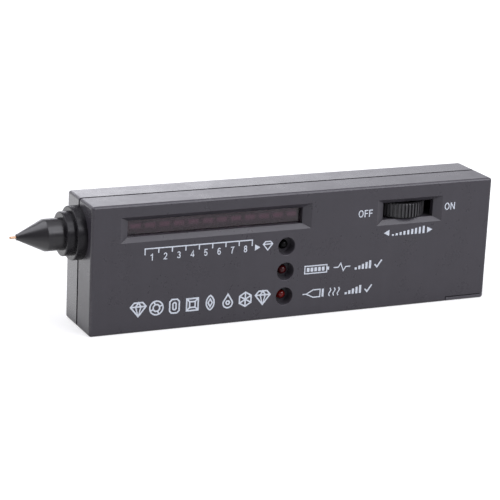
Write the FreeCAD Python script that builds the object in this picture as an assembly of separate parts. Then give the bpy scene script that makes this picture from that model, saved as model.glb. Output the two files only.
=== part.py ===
"""Hand-held diamond tester: a flat two-shell case with a sprung probe, a bar
display, three lamps and a thumbwheel, built round a 9 V block battery.

Case measures, in millimetres: x runs from the outside of the nose-end wall
towards the tail, y from the display face towards the back, and z up from the
narrow side on which the case stands.
"""
import FreeCAD
import Part
import math
import os

V = FreeCAD.Vector

# General fits
FIT_GAP = 0.1            # between moulded pieces that seat in each other
RUNNING_FIT = 0.05       # radial, of a shaft or pin in its bore
SCREW_FIT = 0.02         # radial, of a screw in its pilot hole
MERGE = 0.2              # how far a rib or boss is rooted into its wall

# Case
WALL = 1.6
EDGE_RADIUS = 0.9
SEAM_DEPTH = 11.0        # parting plane, behind the display face
SEAM_WIDTH = 1.0         # of the shadow gap, whose floor is the lip
LIP_THICKNESS = 0.6
LIP_HEIGHT = 1.2

# 9 V block battery, which lies along the case at its tail
BATTERY_LENGTH = 46.4
BATTERY_THICKNESS = 16.8
BATTERY_HEIGHT = 25.8
BATTERY_CORNER = 2.0
BATTERY_JACKET = 0.3
BATTERY_FRONT_GAP = 0.2
BATTERY_TAIL_GAP = 0.2
BATTERY_TOP_GAP = 0.3
BATTERY_PAD = 0.8
TERMINAL_HEIGHT = 2.3
TERMINAL_SPACING = 12.7
STUD_RADIUS = 2.85
SOCKET_RADIUS = 4.05
SNAP_THICKNESS = 3.3
SNAP_EDGE = 0.4          # battery's edge to the snap's, in height
SNAP_WIDTH = 12.6
SNAP_CORNER = 3.0
SNAP_BACK_GAP = 0.4      # snap to the partition
SNAP_FRONT_GAP = 0.3     # snap to the battery

# Inner walls
BOARD_ROOM = 82.1        # nose-end outside to the battery's partition
PARTITION = 1.2
CEILING = 0.8            # over the battery

# Battery door, on the narrow side at the tail
DOOR_RECESS = 0.1
DOOR_TOP = 1.35
DOOR_RIB = 0.2
DOOR_RIB_WIDTH = 1.6
DOOR_BATTERY_GAP = 0.15
DOOR_GRIP_LENGTH = 13.9  # full-width part at the tail
DOOR_SIDE = 2.0          # case side to the plate's edge
DOOR_TONGUE = 0.85
DOOR_TONGUE_BOTTOM = 0.7
DOOR_GAP = 0.3           # visible line round the full-width part
DOOR_LIP_GAP = 0.2
GRIP_GROOVES = 5
GRIP_PITCH = 2.0
GRIP_GROOVE = 0.9
GRIP_DEPTH = 0.4

# Bevelled windows of the display face
BEVEL_DEPTH = 1.4
BEVEL_SIDE = 2.65
BEVEL_EDGE = 1.4
BEZEL_MARGIN = 1.0

# Display
DISPLAY_X = 40.45
DISPLAY_BELOW_TOP = 7.75
DISPLAY_OPENING_LENGTH = 57.4
DISPLAY_OPENING_HEIGHT = 5.1
DISPLAY_LAND = 1.4
DISPLAY_PANEL = 1.5
DISPLAY_REBATE = 0.9
BARS = 12
BAR_PITCH = 4.68
BAR_LENGTH = 3.2
BAR_HEIGHT = 1.5
BAR_THICKNESS = 1.2
BAR_HOUSING_HEIGHT = 6.3
BAR_END_WALL = 0.95
BAR_WELL_FLARE = 0.35
BAR_WELL_HEIGHT = 5.0
BAR_CENTRE_OFFSET = 0.5

# Indicator lamps, 3 mm, each in a dished hole
LAMP_X = 63.65
LAMP_TOP_BELOW_TOP = 16.9
LAMP_PITCH = 8.02
LAMP_COUNT = 3
LAMP_HOLE_RADIUS = 2.8
LAMP_HOLE_FLOOR_RADIUS = 2.55
LAMP_HOLE_DEPTH = 3.2
LAMP_HOLE_ROUND = 0.2
LAMP_BOSS_RADIUS = 4.2
LAMP_FLOOR = 2.0
LAMP_RADIUS = 1.5
LAMP_LENGTH = 5.3
LAMP_TIP_DEPTH = 1.5
LAMP_FLANGE_RADIUS = 1.9
LAMP_FLANGE = 1.0
LAMP_HOLE_FIT = 0.1
LAMP_LEG_PITCH = 2.54

# Thumbwheel and level control
WHEEL_FROM_TAIL = 29.35
WHEEL_RADIUS = 8.3
WHEEL_THICKNESS = 4.5
WHEEL_FRONT = 0.05       # rim behind the display face
WHEEL_SIDE_GAP = 2.44
WHEEL_OVER_CEILING = 0.3
WHEEL_TOP_GAP = 0.65     # wheel to the window's upper edge
WHEEL_RIBS = 44
WHEEL_RIB_DEPTH = 0.6
WHEEL_RIB_CREST = 0.52   # width at the rim
WHEEL_RIB_FOOT = 0.66    # width at the bottom of the grooves
WHEEL_RIM_CHAMFER = 0.3
WHEEL_RIM_RADIUS = 6.7
WHEEL_HUB_RADIUS = 3.4
WHEEL_WEB_RECESS = 0.9
WHEEL_BEZEL_BACK = 1.8   # land of the window behind its bevel
SPINDLE_RADIUS = 1.5
CONTROL_GAP = 0.5
CONTROL_HUB_GAP = 0.1
CONTROL_HEIGHT = 3.8
CONTROL_WIDTH = 12.0
CONTROL_FRONT = 3.4
CONTROL_CORNER = 1.0
CONTROL_PINS = 5
CONTROL_PIN_PITCH = 2.0
CONTROL_ROOF_GAP = 0.7
WHEEL_SCREW_HEAD_RADIUS = 1.7
WHEEL_SCREW_HEAD = 0.9
WHEEL_SCREW_RADIUS = 0.75
WHEEL_SCREW_LENGTH = 3.6
WHEEL_SCREW_RECESS = 1.2

# Probe
PROBE_BELOW_TOP = 10.5
RING_BACK_RADIUS = 8.17
RING_BACK_LENGTH = 3.1
RING_FRONT_RADIUS = 6.69
RING_FRONT_LENGTH = 2.7
RING_ROUND = 0.3
SPIGOT_RADIUS = 5.9
SPIGOT_LENGTH = 5.2
NUT_ACROSS_FLATS = 15.0
NUT_THICKNESS = 2.6
CONE_RADIUS = 4.85
CONE_BARREL = 5.2
CONE_TAPER = 8.0
CONE_TIP_RADIUS = 1.0
CONE_TIP_ROUND = 0.5
CONE_SHOULDER_ROUND = 1.2
CONE_TAIL_RADIUS = 3.95
CONE_TAIL = 3.8
CONE_WALL_AT_BORE_END = 7.2   # bore's end, in front of the front ring
CARRIER_RADIUS = 2.62
CARRIER_BORE_FIT = 0.08
CARRIER_LENGTH = 5.0
CARRIER_STOP_GAP = 0.1
PIN_RADIUS = 0.37
PIN_REACH = 2.0
PIN_IN_CARRIER = 2.2
PROBE_BORE_RADIUS = 3.0
SPRING_RADIUS = 1.95
SPRING_WIRE = 0.22
SPRING_TURNS = 5
SEAT_RADIUS = 3.38
SEAT_LENGTH = 2.2
PROBE_LEADS = 3
PROBE_LEAD_PITCH = 1.5
PROBE_LEAD_RADIUS = 0.45

# Circuit board, held on posts of the front shell
BOARD_BEHIND_SEAM = 1.0
BOARD_THICKNESS = 1.6
BOARD_END_GAP = 0.5
BOARD_START = 9.5
BOARD_EDGE_GAP = 0.6
BOARD_BOTTOM = 3.4
BOARD_TAB_GAP = 0.8      # board to ceiling, wheel and control
LEG = 0.5
LEG_HOLE_FIT = 0.05
LEG_THROUGH = 0.8
SOCKET_START = 9.8
SOCKET_DEPTH = 2.5
SOCKET_HEIGHT = 7.8
SOCKET_THICKNESS = 2.4

# Parts on the board: places are x, z
CHIP_THICKNESS = 3.3
CHIP_STANDOFF = 0.7
CHIP_WIDTH = 6.4
CHIP_ROW = 7.62
CHIP_PITCH = 2.54
CHIP_PIN_THICKNESS = 0.3
DRIVER_PLACE = (41.4, 22.4)
DRIVER_LENGTH = 22.8
DRIVER_PINS = 9
AMPLIFIER_PLACE = (40.4, 9.2)
AMPLIFIER_LENGTH = 19.0
AMPLIFIER_PINS = 7
CAPACITOR_PLACES = ((15.5, 9.5), (15.5, 16.5), (25.6, 24.0))
CAPACITOR_RADIUS = 2.5
CAPACITOR_LENGTH = 7.6
CAPACITOR_LEG_PITCH = 2.0
RESISTOR_START = 52.2
RESISTOR_Z = 8.0
RESISTOR_COUNT = 4
RESISTOR_PITCH = 2.2
RESISTOR_RADIUS = 0.9
RESISTOR_LENGTH = 3.6
RESISTOR_SPAN = 6.0
RESISTOR_WIRE = 0.22
RESISTOR_BEND = 0.6
TRIMMER_PLACE = (56.9, 23.4)
TRIMMER_SIDE = 6.4
TRIMMER_HEIGHT = 4.6
TRIMMER_DIAL_RADIUS = 2.2
SOUNDER_PLACE = (22.0, 13.0)
SOUNDER_RADIUS = 6.0
SOUNDER_HEIGHT = 5.4
SOUNDER_MOUTH_RADIUS = 1.1
SOUNDER_LEG_PITCH = 7.6

# Screws
CASE_SCREW_RADIUS = 1.1
CASE_SCREW_HEAD_RADIUS = 2.0
CASE_SCREW_HEAD = 1.4
CASE_SCREW_LENGTH = 10.0
CASE_SCREW_SINK = 4.8    # head seat, in front of the back face
CASE_BOSS_RADIUS = 2.8
CASE_BOSS_BACK_RADIUS = 3.1
CASE_BOSS_NECK_RADIUS = 2.3
CASE_HEAD_FIT = 0.2
BOARD_SCREW_RADIUS = 0.9
BOARD_SCREW_HEAD_RADIUS = 1.9
BOARD_SCREW_HEAD = 1.3
BOARD_SCREW_LENGTH = 7.0
BOARD_POST_RADIUS = 2.2
BOARD_HOLE_FIT = 0.3
SCREW_CROSS_SPAN = 2.2
SCREW_CROSS_WIDTH = 0.55
SCREW_CROSS_DEPTH = 0.9
DIAL_SLOT = 0.5
BOARD_POSTS = ((15.0, 24.0), (56.3, 16.2), (27.0, 5.4))
CORNER_BOSS = 6.5        # from the end and from the bottom
LAMP_BOSS_OFFSET = 8.2   # case boss beside the lamps
WHEEL_BOSS_OFFSET = 19.0 # case boss before the wheel
TAIL_BOSS_OFFSET = 8.5   # case boss before the tail
UPPER_BOSS_BELOW_TOP = 6.3

# Battery leads
SNAP_LEAD_RADIUS = 0.6
SNAP_LEAD_PITCH = 2.0
SNAP_LEAD_BEND = 2.6
SNAP_LEAD_Y = 8.4
SNAP_LEAD_BOARD = 3.0    # where a lead meets the board, before its end
LEAD_NOTCH = 0.4

# Worked out from the sizes above
BODY_THICKNESS = (2 * WALL + BATTERY_FRONT_GAP + BATTERY_THICKNESS
                  + BATTERY_PAD)
SNAP_HEIGHT = BATTERY_HEIGHT - 2 * SNAP_EDGE
BATTERY_BOTTOM = DOOR_TOP + DOOR_RIB + DOOR_BATTERY_GAP
BATTERY_TOP = BATTERY_BOTTOM + BATTERY_HEIGHT
CEILING_BOTTOM = BATTERY_TOP + BATTERY_TOP_GAP
CEILING_TOP = CEILING_BOTTOM + CEILING
WHEEL_BOTTOM = CEILING_TOP + WHEEL_OVER_CEILING
WHEEL_TOP = WHEEL_BOTTOM + WHEEL_THICKNESS
CONTROL_BOTTOM = WHEEL_TOP + CONTROL_GAP
CONTROL_TOP = CONTROL_BOTTOM + CONTROL_HEIGHT
BODY_HEIGHT = CONTROL_TOP + CONTROL_ROOF_GAP + WALL
PARTITION_END = BOARD_ROOM + PARTITION
SNAP_START = PARTITION_END + SNAP_BACK_GAP
SNAP_END = SNAP_START + SNAP_THICKNESS
BATTERY_START = SNAP_END + SNAP_FRONT_GAP
BATTERY_END = BATTERY_START + BATTERY_LENGTH
BODY_LENGTH = BATTERY_END + BATTERY_TAIL_GAP + WALL

BATTERY_FRONT = WALL + BATTERY_FRONT_GAP
BATTERY_BACK = BATTERY_FRONT + BATTERY_THICKNESS
INSIDE_BACK = BODY_THICKNESS - WALL
INSIDE_TOP = BODY_HEIGHT - WALL
BOARD_FRONT = SEAM_DEPTH + BOARD_BEHIND_SEAM
BOARD_BACK = BOARD_FRONT + BOARD_THICKNESS
BOARD_END = BOARD_ROOM - BOARD_END_GAP
BOARD_TOP = INSIDE_TOP - BOARD_EDGE_GAP

PROBE_Y = SEAM_DEPTH
PROBE_Z = BODY_HEIGHT - PROBE_BELOW_TOP
RINGS_FRONT = -(RING_BACK_LENGTH + RING_FRONT_LENGTH)
CONE_SHOULDER = RINGS_FRONT - CONE_BARREL
CONE_TAPER_END = CONE_SHOULDER - CONE_TAPER
CONE_FRONT = CONE_TAPER_END - CONE_TIP_ROUND
PIN_FRONT = CONE_FRONT - PIN_REACH
CARRIER_FRONT = RINGS_FRONT - CONE_WALL_AT_BORE_END + CARRIER_STOP_GAP
CARRIER_BACK = CARRIER_FRONT + CARRIER_LENGTH
SEAT_FRONT = SPIGOT_LENGTH - SEAT_LENGTH

DISPLAY_Z = BODY_HEIGHT - DISPLAY_BELOW_TOP
DISPLAY_PANEL_FRONT = BEVEL_DEPTH + DISPLAY_LAND
DISPLAY_PANEL_BACK = DISPLAY_PANEL_FRONT + DISPLAY_PANEL
BAR_FRONT = DISPLAY_PANEL_BACK + FIT_GAP
BAR_X = DISPLAY_X + BAR_CENTRE_OFFSET

WHEEL_X = BODY_LENGTH - WHEEL_FROM_TAIL
WHEEL_Y = WHEEL_FRONT + WHEEL_RADIUS
WHEEL_OPENING_HEIGHT = WHEEL_TOP + WHEEL_TOP_GAP - CEILING_TOP
WHEEL_OPENING_Z = CEILING_TOP + WHEEL_OPENING_HEIGHT / 2
WHEEL_WINDOW_BACK = BEVEL_DEPTH + WHEEL_BEZEL_BACK
WHEEL_CHORD = 2 * math.sqrt(WHEEL_RADIUS ** 2 - (WHEEL_Y - WHEEL_WINDOW_BACK) ** 2)
WHEEL_OPENING_LENGTH = WHEEL_CHORD + 2 * WHEEL_SIDE_GAP

CASE_BOSSES = ((CORNER_BOSS, CORNER_BOSS),
               (LAMP_X + LAMP_BOSS_OFFSET, CORNER_BOSS),
               (WHEEL_X - WHEEL_BOSS_OFFSET, BODY_HEIGHT - UPPER_BOSS_BELOW_TOP),
               (BODY_LENGTH - TAIL_BOSS_OFFSET, BODY_HEIGHT - UPPER_BOSS_BELOW_TOP))
CASE_HEAD_SEAT = BODY_THICKNESS - CASE_SCREW_SINK

DOOR_START = PARTITION_END + DOOR_LIP_GAP
DOOR_GRIP_START = BODY_LENGTH - DOOR_GRIP_LENGTH

# The row's origin: the middle of the whole object's base
ROW_ORIGIN = V((BODY_LENGTH + PIN_FRONT) / 2, BODY_THICKNESS / 2, 0)


def box(x0, x1, y0, y1, z0, z1):
    """A block between two corners."""
    return Part.makeBox(x1 - x0, y1 - y0, z1 - z0, V(x0, y0, z0))


def rod_x(x0, x1, y, z, radius):
    """A cylinder along x."""
    return Part.makeCylinder(radius, x1 - x0, V(x0, y, z), V(1, 0, 0))


def rod_y(y0, y1, x, z, radius):
    """A cylinder along y."""
    return Part.makeCylinder(radius, y1 - y0, V(x, y0, z), V(0, 1, 0))


def rod_z(z0, z1, x, y, radius):
    """A cylinder along z."""
    return Part.makeCylinder(radius, z1 - z0, V(x, y, z0), V(0, 0, 1))


def fused(first, *others):
    """One solid of several, with the faces between them removed."""
    shape = first
    for other in others:
        shape = shape.fuse(other)
    return shape.removeSplitter()


def cut(shape, *tools):
    """The shape less every tool."""
    for tool in tools:
        shape = shape.cut(tool)
    return shape


def edges_along(shape, axis):
    """The straight edges that run along one axis."""
    found = []
    for edge in shape.Edges:
        if not isinstance(edge.Curve, Part.Line):
            continue
        if abs(edge.Curve.Direction.dot(axis)) > 0.999:
            found.append(edge)
    return found


def rounded_box(x0, x1, y0, y1, z0, z1, radius, axis):
    """A block whose four edges along one axis are rounded."""
    block = box(x0, x1, y0, y1, z0, z1)
    return block.makeFillet(radius, edges_along(block, axis))


def frustum(x, z, y0, length0, height0, y1, length1, height1):
    """A four-sided taper along y between two centred rectangles."""
    loops = []
    for y, length, height in ((y0, length0, height0), (y1, length1, height1)):
        corners = [V(x + i * length / 2, y, z + k * height / 2)
                   for i, k in ((-1, -1), (1, -1), (1, 1), (-1, 1), (-1, -1))]
        loops.append(Part.makePolygon(corners))
    return Part.makeLoft(loops, True, True)


def rounded_profile(points):
    """A closed face from (distance, radius, rounding) points, whose corners
    with a rounding above nought become tangent arcs."""
    count = len(points)
    arrivals, departures, middles = [], [], []
    for i in range(count):
        here = V(points[i][0], points[i][1], 0)
        before = V(points[i - 1][0], points[i - 1][1], 0) - here
        after = V(points[(i + 1) % count][0], points[(i + 1) % count][1], 0) - here
        rounding = points[i][2]
        if rounding <= 0:
            arrivals.append(here)
            departures.append(here)
            middles.append(None)
            continue
        before.normalize()
        after.normalize()
        half = before.getAngle(after) / 2
        setback = rounding / math.tan(half)
        bisector = before + after
        bisector.normalize()
        arrivals.append(here + before * setback)
        departures.append(here + after * setback)
        middles.append(here + bisector * (rounding / math.sin(half) - rounding))
    edges = []
    for i in range(count):
        if middles[i] is not None:
            edges.append(Part.Arc(arrivals[i], middles[i], departures[i]).toShape())
        following = arrivals[(i + 1) % count]
        if departures[i].distanceToPoint(following) > 1e-6:
            edges.append(Part.LineSegment(departures[i], following).toShape())
    return Part.Face(Part.Wire(edges))


def turned(points, origin, axis):
    """A solid of revolution from (distance, radius, rounding) points, with
    distances along the axis from the origin."""
    solid = rounded_profile(points).revolve(V(0, 0, 0), V(1, 0, 0), 360)
    solid.Placement = FreeCAD.Placement(origin, FreeCAD.Rotation(V(1, 0, 0), axis))
    return solid


def bent_wire(points, radius, bend):
    """A round wire along straight runs that tangent arcs join."""
    edges = []
    start = points[0]
    for i in range(1, len(points) - 1):
        back = points[i - 1] - points[i]
        ahead = points[i + 1] - points[i]
        back.normalize()
        ahead.normalize()
        half = back.getAngle(ahead) / 2
        setback = bend / math.tan(half)
        bisector = back + ahead
        bisector.normalize()
        arrive = points[i] + back * setback
        leave = points[i] + ahead * setback
        middle = points[i] + bisector * (bend / math.sin(half) - bend)
        edges.append(Part.LineSegment(start, arrive).toShape())
        edges.append(Part.Arc(arrive, middle, leave).toShape())
        start = leave
    edges.append(Part.LineSegment(start, points[-1]).toShape())
    heading = points[1] - points[0]
    section = Part.Wire([Part.Circle(points[0], heading, radius).toShape()])
    return Part.Wire(edges).makePipeShell([section], True, False)


def outline_ring(outer, inner, y0, y1):
    """The band between two offsets inside the case's outline."""
    ring = box(outer, BODY_LENGTH - outer, y0, y1, outer, BODY_HEIGHT - outer)
    return ring.cut(box(inner, BODY_LENGTH - inner, y0 - 1, y1 + 1,
                        inner, BODY_HEIGHT - inner))


def leg(x, z, start):
    """A square leg from the front, through the board."""
    return box(x - LEG / 2, x + LEG / 2, start, BOARD_BACK + LEG_THROUGH,
               z - LEG / 2, z + LEG / 2)


# Case

def case_block():
    """The whole case's outside, with every edge rounded."""
    block = box(0, BODY_LENGTH, 0, BODY_THICKNESS, 0, BODY_HEIGHT)
    return block.makeFillet(EDGE_RADIUS, block.Edges)


def case_cavity():
    """The room inside the walls."""
    return box(WALL, BODY_LENGTH - WALL, WALL, INSIDE_BACK, WALL, INSIDE_TOP)


def door_way():
    """Everything the battery door and its slide need clear in the shells."""
    lip = DOOR_SIDE - DOOR_LIP_GAP
    tongue = DOOR_SIDE - DOOR_TONGUE - FIT_GAP
    mouth = box(PARTITION_END, BODY_LENGTH - WALL, lip, BODY_THICKNESS - lip,
                -1, WALL + MERGE)
    groove = box(PARTITION_END, BODY_LENGTH + 1, tongue, BODY_THICKNESS - tongue,
                 DOOR_TONGUE_BOTTOM - FIT_GAP, DOOR_TOP + FIT_GAP)
    grip = box(DOOR_GRIP_START - DOOR_GAP, BODY_LENGTH + 1, -1, BODY_THICKNESS + 1,
               -1, DOOR_TOP + DOOR_GAP)
    return [mouth, groove, grip]


def probe_hole():
    """The hole for the probe's spigot, half in each shell."""
    return rod_x(-1, WALL + 1, PROBE_Y, PROBE_Z, SPIGOT_RADIUS + FIT_GAP)


def window_block(x, z, length, height, back):
    """The thick frame that stands behind a bevelled window."""
    half_length = length / 2 + BEVEL_SIDE + BEZEL_MARGIN
    half_height = height / 2 + BEVEL_EDGE + BEZEL_MARGIN
    return box(x - half_length, x + half_length, WALL - MERGE, back,
               z - half_height, z + half_height)


def window_cut(x, z, length, height):
    """A window's bevel and the opening behind it."""
    bevel = frustum(x, z, 0, length + 2 * BEVEL_SIDE, height + 2 * BEVEL_EDGE,
                    BEVEL_DEPTH, length, height)
    over = 0.5
    grow = over / BEVEL_DEPTH * 2
    mouth = frustum(x, z, -over,
                    length + (2 + grow) * BEVEL_SIDE, height + (2 + grow) * BEVEL_EDGE,
                    0, length + 2 * BEVEL_SIDE, height + 2 * BEVEL_EDGE)
    opening = box(x - length / 2, x + length / 2, BEVEL_DEPTH - MERGE, SEAM_DEPTH,
                  z - height / 2, z + height / 2)
    return [bevel, mouth, opening]


def lamp_places():
    """The lamps' x, z, from the top."""
    top = BODY_HEIGHT - LAMP_TOP_BELOW_TOP
    return [(LAMP_X, top - i * LAMP_PITCH) for i in range(LAMP_COUNT)]


def lamp_hole(x, z):
    """A lamp's dished hole, with a rounded mouth and a bore in its floor."""
    mouth = LAMP_HOLE_RADIUS + LAMP_HOLE_ROUND
    flare = Part.Arc(V(0, mouth, 0),
                     V(LAMP_HOLE_ROUND * (1 - math.sqrt(0.5)),
                       mouth - LAMP_HOLE_ROUND * math.sqrt(0.5), 0),
                     V(LAMP_HOLE_ROUND, LAMP_HOLE_RADIUS, 0)).toShape()
    bore = LAMP_RADIUS + LAMP_HOLE_FIT
    end = LAMP_HOLE_DEPTH + LAMP_FLOOR + 1
    corners = [V(LAMP_HOLE_ROUND, LAMP_HOLE_RADIUS, 0),
               V(LAMP_HOLE_DEPTH, LAMP_HOLE_FLOOR_RADIUS, 0),
               V(LAMP_HOLE_DEPTH, bore, 0),
               V(end, bore, 0),
               V(end, 0, 0),
               V(-1, 0, 0),
               V(-1, mouth, 0),
               V(0, mouth, 0)]
    lines = [Part.LineSegment(a, b).toShape() for a, b in zip(corners, corners[1:])]
    face = Part.Face(Part.Wire([flare] + lines))
    hole = face.revolve(V(0, 0, 0), V(1, 0, 0), 360)
    hole.Placement = FreeCAD.Placement(V(x, 0, z), FreeCAD.Rotation(V(1, 0, 0), V(0, 1, 0)))
    return hole


def battery_walls(y0, y1):
    """The partition and the ceiling of the battery's room, in one shell."""
    partition = box(BOARD_ROOM, PARTITION_END, y0, y1, WALL - MERGE, CEILING_TOP)
    ceiling = box(BOARD_ROOM, BODY_LENGTH - WALL + MERGE, y0, y1,
                  CEILING_BOTTOM, CEILING_TOP)
    return partition.fuse(ceiling)


def lead_notch():
    """The gap in the partition for the battery leads."""
    reach = SNAP_LEAD_RADIUS + LEAD_NOTCH
    low, high = snap_lead_heights()
    return box(BOARD_ROOM - 1, PARTITION_END + 1, SNAP_LEAD_Y - reach, SEAM_DEPTH + 1,
               low - reach, high + reach)


def front_shell():
    """The shell with the display face."""
    shell = case_block().common(box(-1, BODY_LENGTH + 1, -1, SEAM_DEPTH,
                                    -1, BODY_HEIGHT + 1))
    shell = shell.cut(case_cavity())
    shell = shell.cut(outline_ring(-1, WALL - LIP_THICKNESS,
                                   SEAM_DEPTH - SEAM_WIDTH / 2, SEAM_DEPTH + 1))
    lip = outline_ring(WALL - LIP_THICKNESS, WALL, SEAM_DEPTH - SEAM_WIDTH / 2 - MERGE,
                       SEAM_DEPTH + LIP_HEIGHT)
    display_block = window_block(DISPLAY_X, DISPLAY_Z, DISPLAY_OPENING_LENGTH,
                                 DISPLAY_OPENING_HEIGHT, DISPLAY_PANEL_BACK)
    wheel_block = window_block(WHEEL_X, WHEEL_OPENING_Z, WHEEL_OPENING_LENGTH,
                               WHEEL_OPENING_HEIGHT, WHEEL_WINDOW_BACK)
    wheel_block = wheel_block.cut(box(0, BODY_LENGTH, 0, BODY_THICKNESS,
                                      0, CEILING_BOTTOM))
    pieces = [lip, display_block, wheel_block,
              battery_walls(WALL - MERGE, SEAM_DEPTH)]
    for x, z in lamp_places():
        pieces.append(rod_y(WALL - MERGE, LAMP_HOLE_DEPTH + LAMP_FLOOR, x, z,
                            LAMP_BOSS_RADIUS))
    for x, z in CASE_BOSSES:
        pieces.append(rod_y(WALL - MERGE, BOARD_FRONT - FIT_GAP, x, z,
                            CASE_BOSS_RADIUS))
    for x, z in BOARD_POSTS:
        pieces.append(rod_y(WALL - MERGE, BOARD_FRONT, x, z, BOARD_POST_RADIUS))
    shell = fused(shell, *pieces)

    tools = window_cut(DISPLAY_X, DISPLAY_Z, DISPLAY_OPENING_LENGTH,
                       DISPLAY_OPENING_HEIGHT)
    tools += window_cut(WHEEL_X, WHEEL_OPENING_Z, WHEEL_OPENING_LENGTH,
                        WHEEL_OPENING_HEIGHT)
    tools.append(display_rebate())
    tools += [lamp_hole(x, z) for x, z in lamp_places()]
    tools += [probe_hole(), lead_notch()]
    tools += door_way()
    for x, z in CASE_BOSSES:
        tools.append(rod_y(CASE_HEAD_SEAT - CASE_SCREW_LENGTH - 1, BOARD_BACK, x, z,
                           CASE_SCREW_RADIUS + SCREW_FIT))
    for x, z in BOARD_POSTS:
        tools.append(rod_y(BOARD_BACK - BOARD_SCREW_LENGTH - 1, BOARD_BACK, x, z,
                           BOARD_SCREW_RADIUS + SCREW_FIT))
    return cut(shell, *tools)


def display_rebate():
    """The seat of the display window, from behind."""
    half_length = DISPLAY_OPENING_LENGTH / 2 + DISPLAY_REBATE
    half_height = DISPLAY_OPENING_HEIGHT / 2 + DISPLAY_REBATE
    return box(DISPLAY_X - half_length, DISPLAY_X + half_length,
               DISPLAY_PANEL_FRONT, SEAM_DEPTH - 1,
               DISPLAY_Z - half_height, DISPLAY_Z + half_height)


def rear_shell():
    """The plain back shell, with the deep screw holes."""
    shell = case_block().common(box(-1, BODY_LENGTH + 1, SEAM_DEPTH, BODY_THICKNESS + 1,
                                    -1, BODY_HEIGHT + 1))
    shell = shell.cut(case_cavity())
    shell = shell.cut(outline_ring(-1, WALL - LIP_THICKNESS, SEAM_DEPTH - 1,
                                   SEAM_DEPTH + SEAM_WIDTH / 2))
    pieces = [battery_walls(SEAM_DEPTH, INSIDE_BACK + MERGE)]
    for x, z in CASE_BOSSES:
        pieces.append(rod_y(BOARD_FRONT, BOARD_BACK + LEG_THROUGH, x, z,
                            CASE_BOSS_NECK_RADIUS))
        pieces.append(rod_y(BOARD_BACK + LEG_THROUGH - MERGE, INSIDE_BACK + MERGE, x, z,
                            CASE_BOSS_BACK_RADIUS))
    shell = fused(shell, *pieces)
    rebate = outline_ring(WALL - LIP_THICKNESS - FIT_GAP, WALL + FIT_GAP,
                          SEAM_DEPTH - 1, SEAM_DEPTH + LIP_HEIGHT + FIT_GAP)
    tools = [rebate, probe_hole()] + door_way()
    for x, z in CASE_BOSSES:
        tools.append(rod_y(SEAM_DEPTH, BODY_THICKNESS + 1, x, z,
                           CASE_SCREW_RADIUS + FIT_GAP))
        tools.append(rod_y(CASE_HEAD_SEAT, BODY_THICKNESS + 1, x, z,
                           CASE_SCREW_HEAD_RADIUS + CASE_HEAD_FIT))
    return cut(shell, *tools)


def battery_door():
    """The sliding door: a plate with side tongues, two ribs that carry the
    battery, and a full-width grip at the tail."""
    plate = box(DOOR_START, DOOR_GRIP_START + MERGE, DOOR_SIDE,
                BODY_THICKNESS - DOOR_SIDE, DOOR_RECESS, DOOR_TOP)
    tongue = DOOR_SIDE - DOOR_TONGUE
    tongues = box(DOOR_START, DOOR_GRIP_START + MERGE, tongue,
                  BODY_THICKNESS - tongue, DOOR_TONGUE_BOTTOM, DOOR_TOP)
    grip = case_block().common(box(DOOR_GRIP_START, BODY_LENGTH + 1, -1,
                                   BODY_THICKNESS + 1, DOOR_RECESS, DOOR_TOP))
    ribs = []
    for y in (BODY_THICKNESS / 2 - CONTROL_PIN_PITCH * 2,
              BODY_THICKNESS / 2 + CONTROL_PIN_PITCH * 2):
        ribs.append(box(DOOR_START + WALL, BODY_LENGTH - 2 * WALL,
                        y - DOOR_RIB_WIDTH / 2, y + DOOR_RIB_WIDTH / 2,
                        DOOR_TOP - MERGE, DOOR_TOP + DOOR_RIB))
    door = fused(plate, tongues, grip, *ribs)
    middle = BODY_LENGTH - DOOR_GRIP_LENGTH / 2
    grooves = []
    for i in range(GRIP_GROOVES):
        x = middle + (i - (GRIP_GROOVES - 1) / 2) * GRIP_PITCH
        grooves.append(box(x - GRIP_GROOVE / 2, x + GRIP_GROOVE / 2, 2 * WALL,
                           BODY_THICKNESS - 2 * WALL, -1, DOOR_RECESS + GRIP_DEPTH))
    return cut(door, *grooves)


# Display

def display_window():
    """The smoked panel, seated from behind."""
    seat = display_rebate().BoundBox
    return box(seat.XMin + FIT_GAP, seat.XMax - FIT_GAP,
               DISPLAY_PANEL_FRONT, DISPLAY_PANEL_BACK,
               seat.ZMin + FIT_GAP, seat.ZMax - FIT_GAP)


def bar_places():
    """The x of each light bar."""
    return [BAR_X + (i - (BARS - 1) / 2) * BAR_PITCH for i in range(BARS)]


def bar_housing():
    """The block of light wells between the board and the window."""
    places = bar_places()
    start = places[0] - BAR_LENGTH / 2 - BAR_END_WALL
    end = places[-1] + BAR_LENGTH / 2 + BAR_END_WALL
    block = rounded_box(start, end, BAR_FRONT, BOARD_FRONT,
                        DISPLAY_Z - BAR_HOUSING_HEIGHT / 2,
                        DISPLAY_Z + BAR_HOUSING_HEIGHT / 2, 0.5, V(0, 1, 0))
    tools = []
    for x in places:
        tools.append(box(x - BAR_LENGTH / 2 - SCREW_FIT, x + BAR_LENGTH / 2 + SCREW_FIT,
                         BAR_FRONT - 1, BAR_FRONT + BAR_THICKNESS,
                         DISPLAY_Z - BAR_HEIGHT / 2 - SCREW_FIT,
                         DISPLAY_Z + BAR_HEIGHT / 2 + SCREW_FIT))
        tools.append(frustum(x, DISPLAY_Z, BAR_FRONT + BAR_THICKNESS,
                             BAR_LENGTH - BAR_WELL_FLARE, BAR_HEIGHT - BAR_WELL_FLARE,
                             BOARD_FRONT, BAR_LENGTH + BAR_WELL_FLARE, BAR_WELL_HEIGHT))
    return cut(block, *tools)


def light_bars():
    """The diffusing bars, flush with the housing's front."""
    return [box(x - BAR_LENGTH / 2, x + BAR_LENGTH / 2,
                BAR_FRONT, BAR_FRONT + BAR_THICKNESS,
                DISPLAY_Z - BAR_HEIGHT / 2, DISPLAY_Z + BAR_HEIGHT / 2)
            for x in bar_places()]


# Lamps

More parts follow.
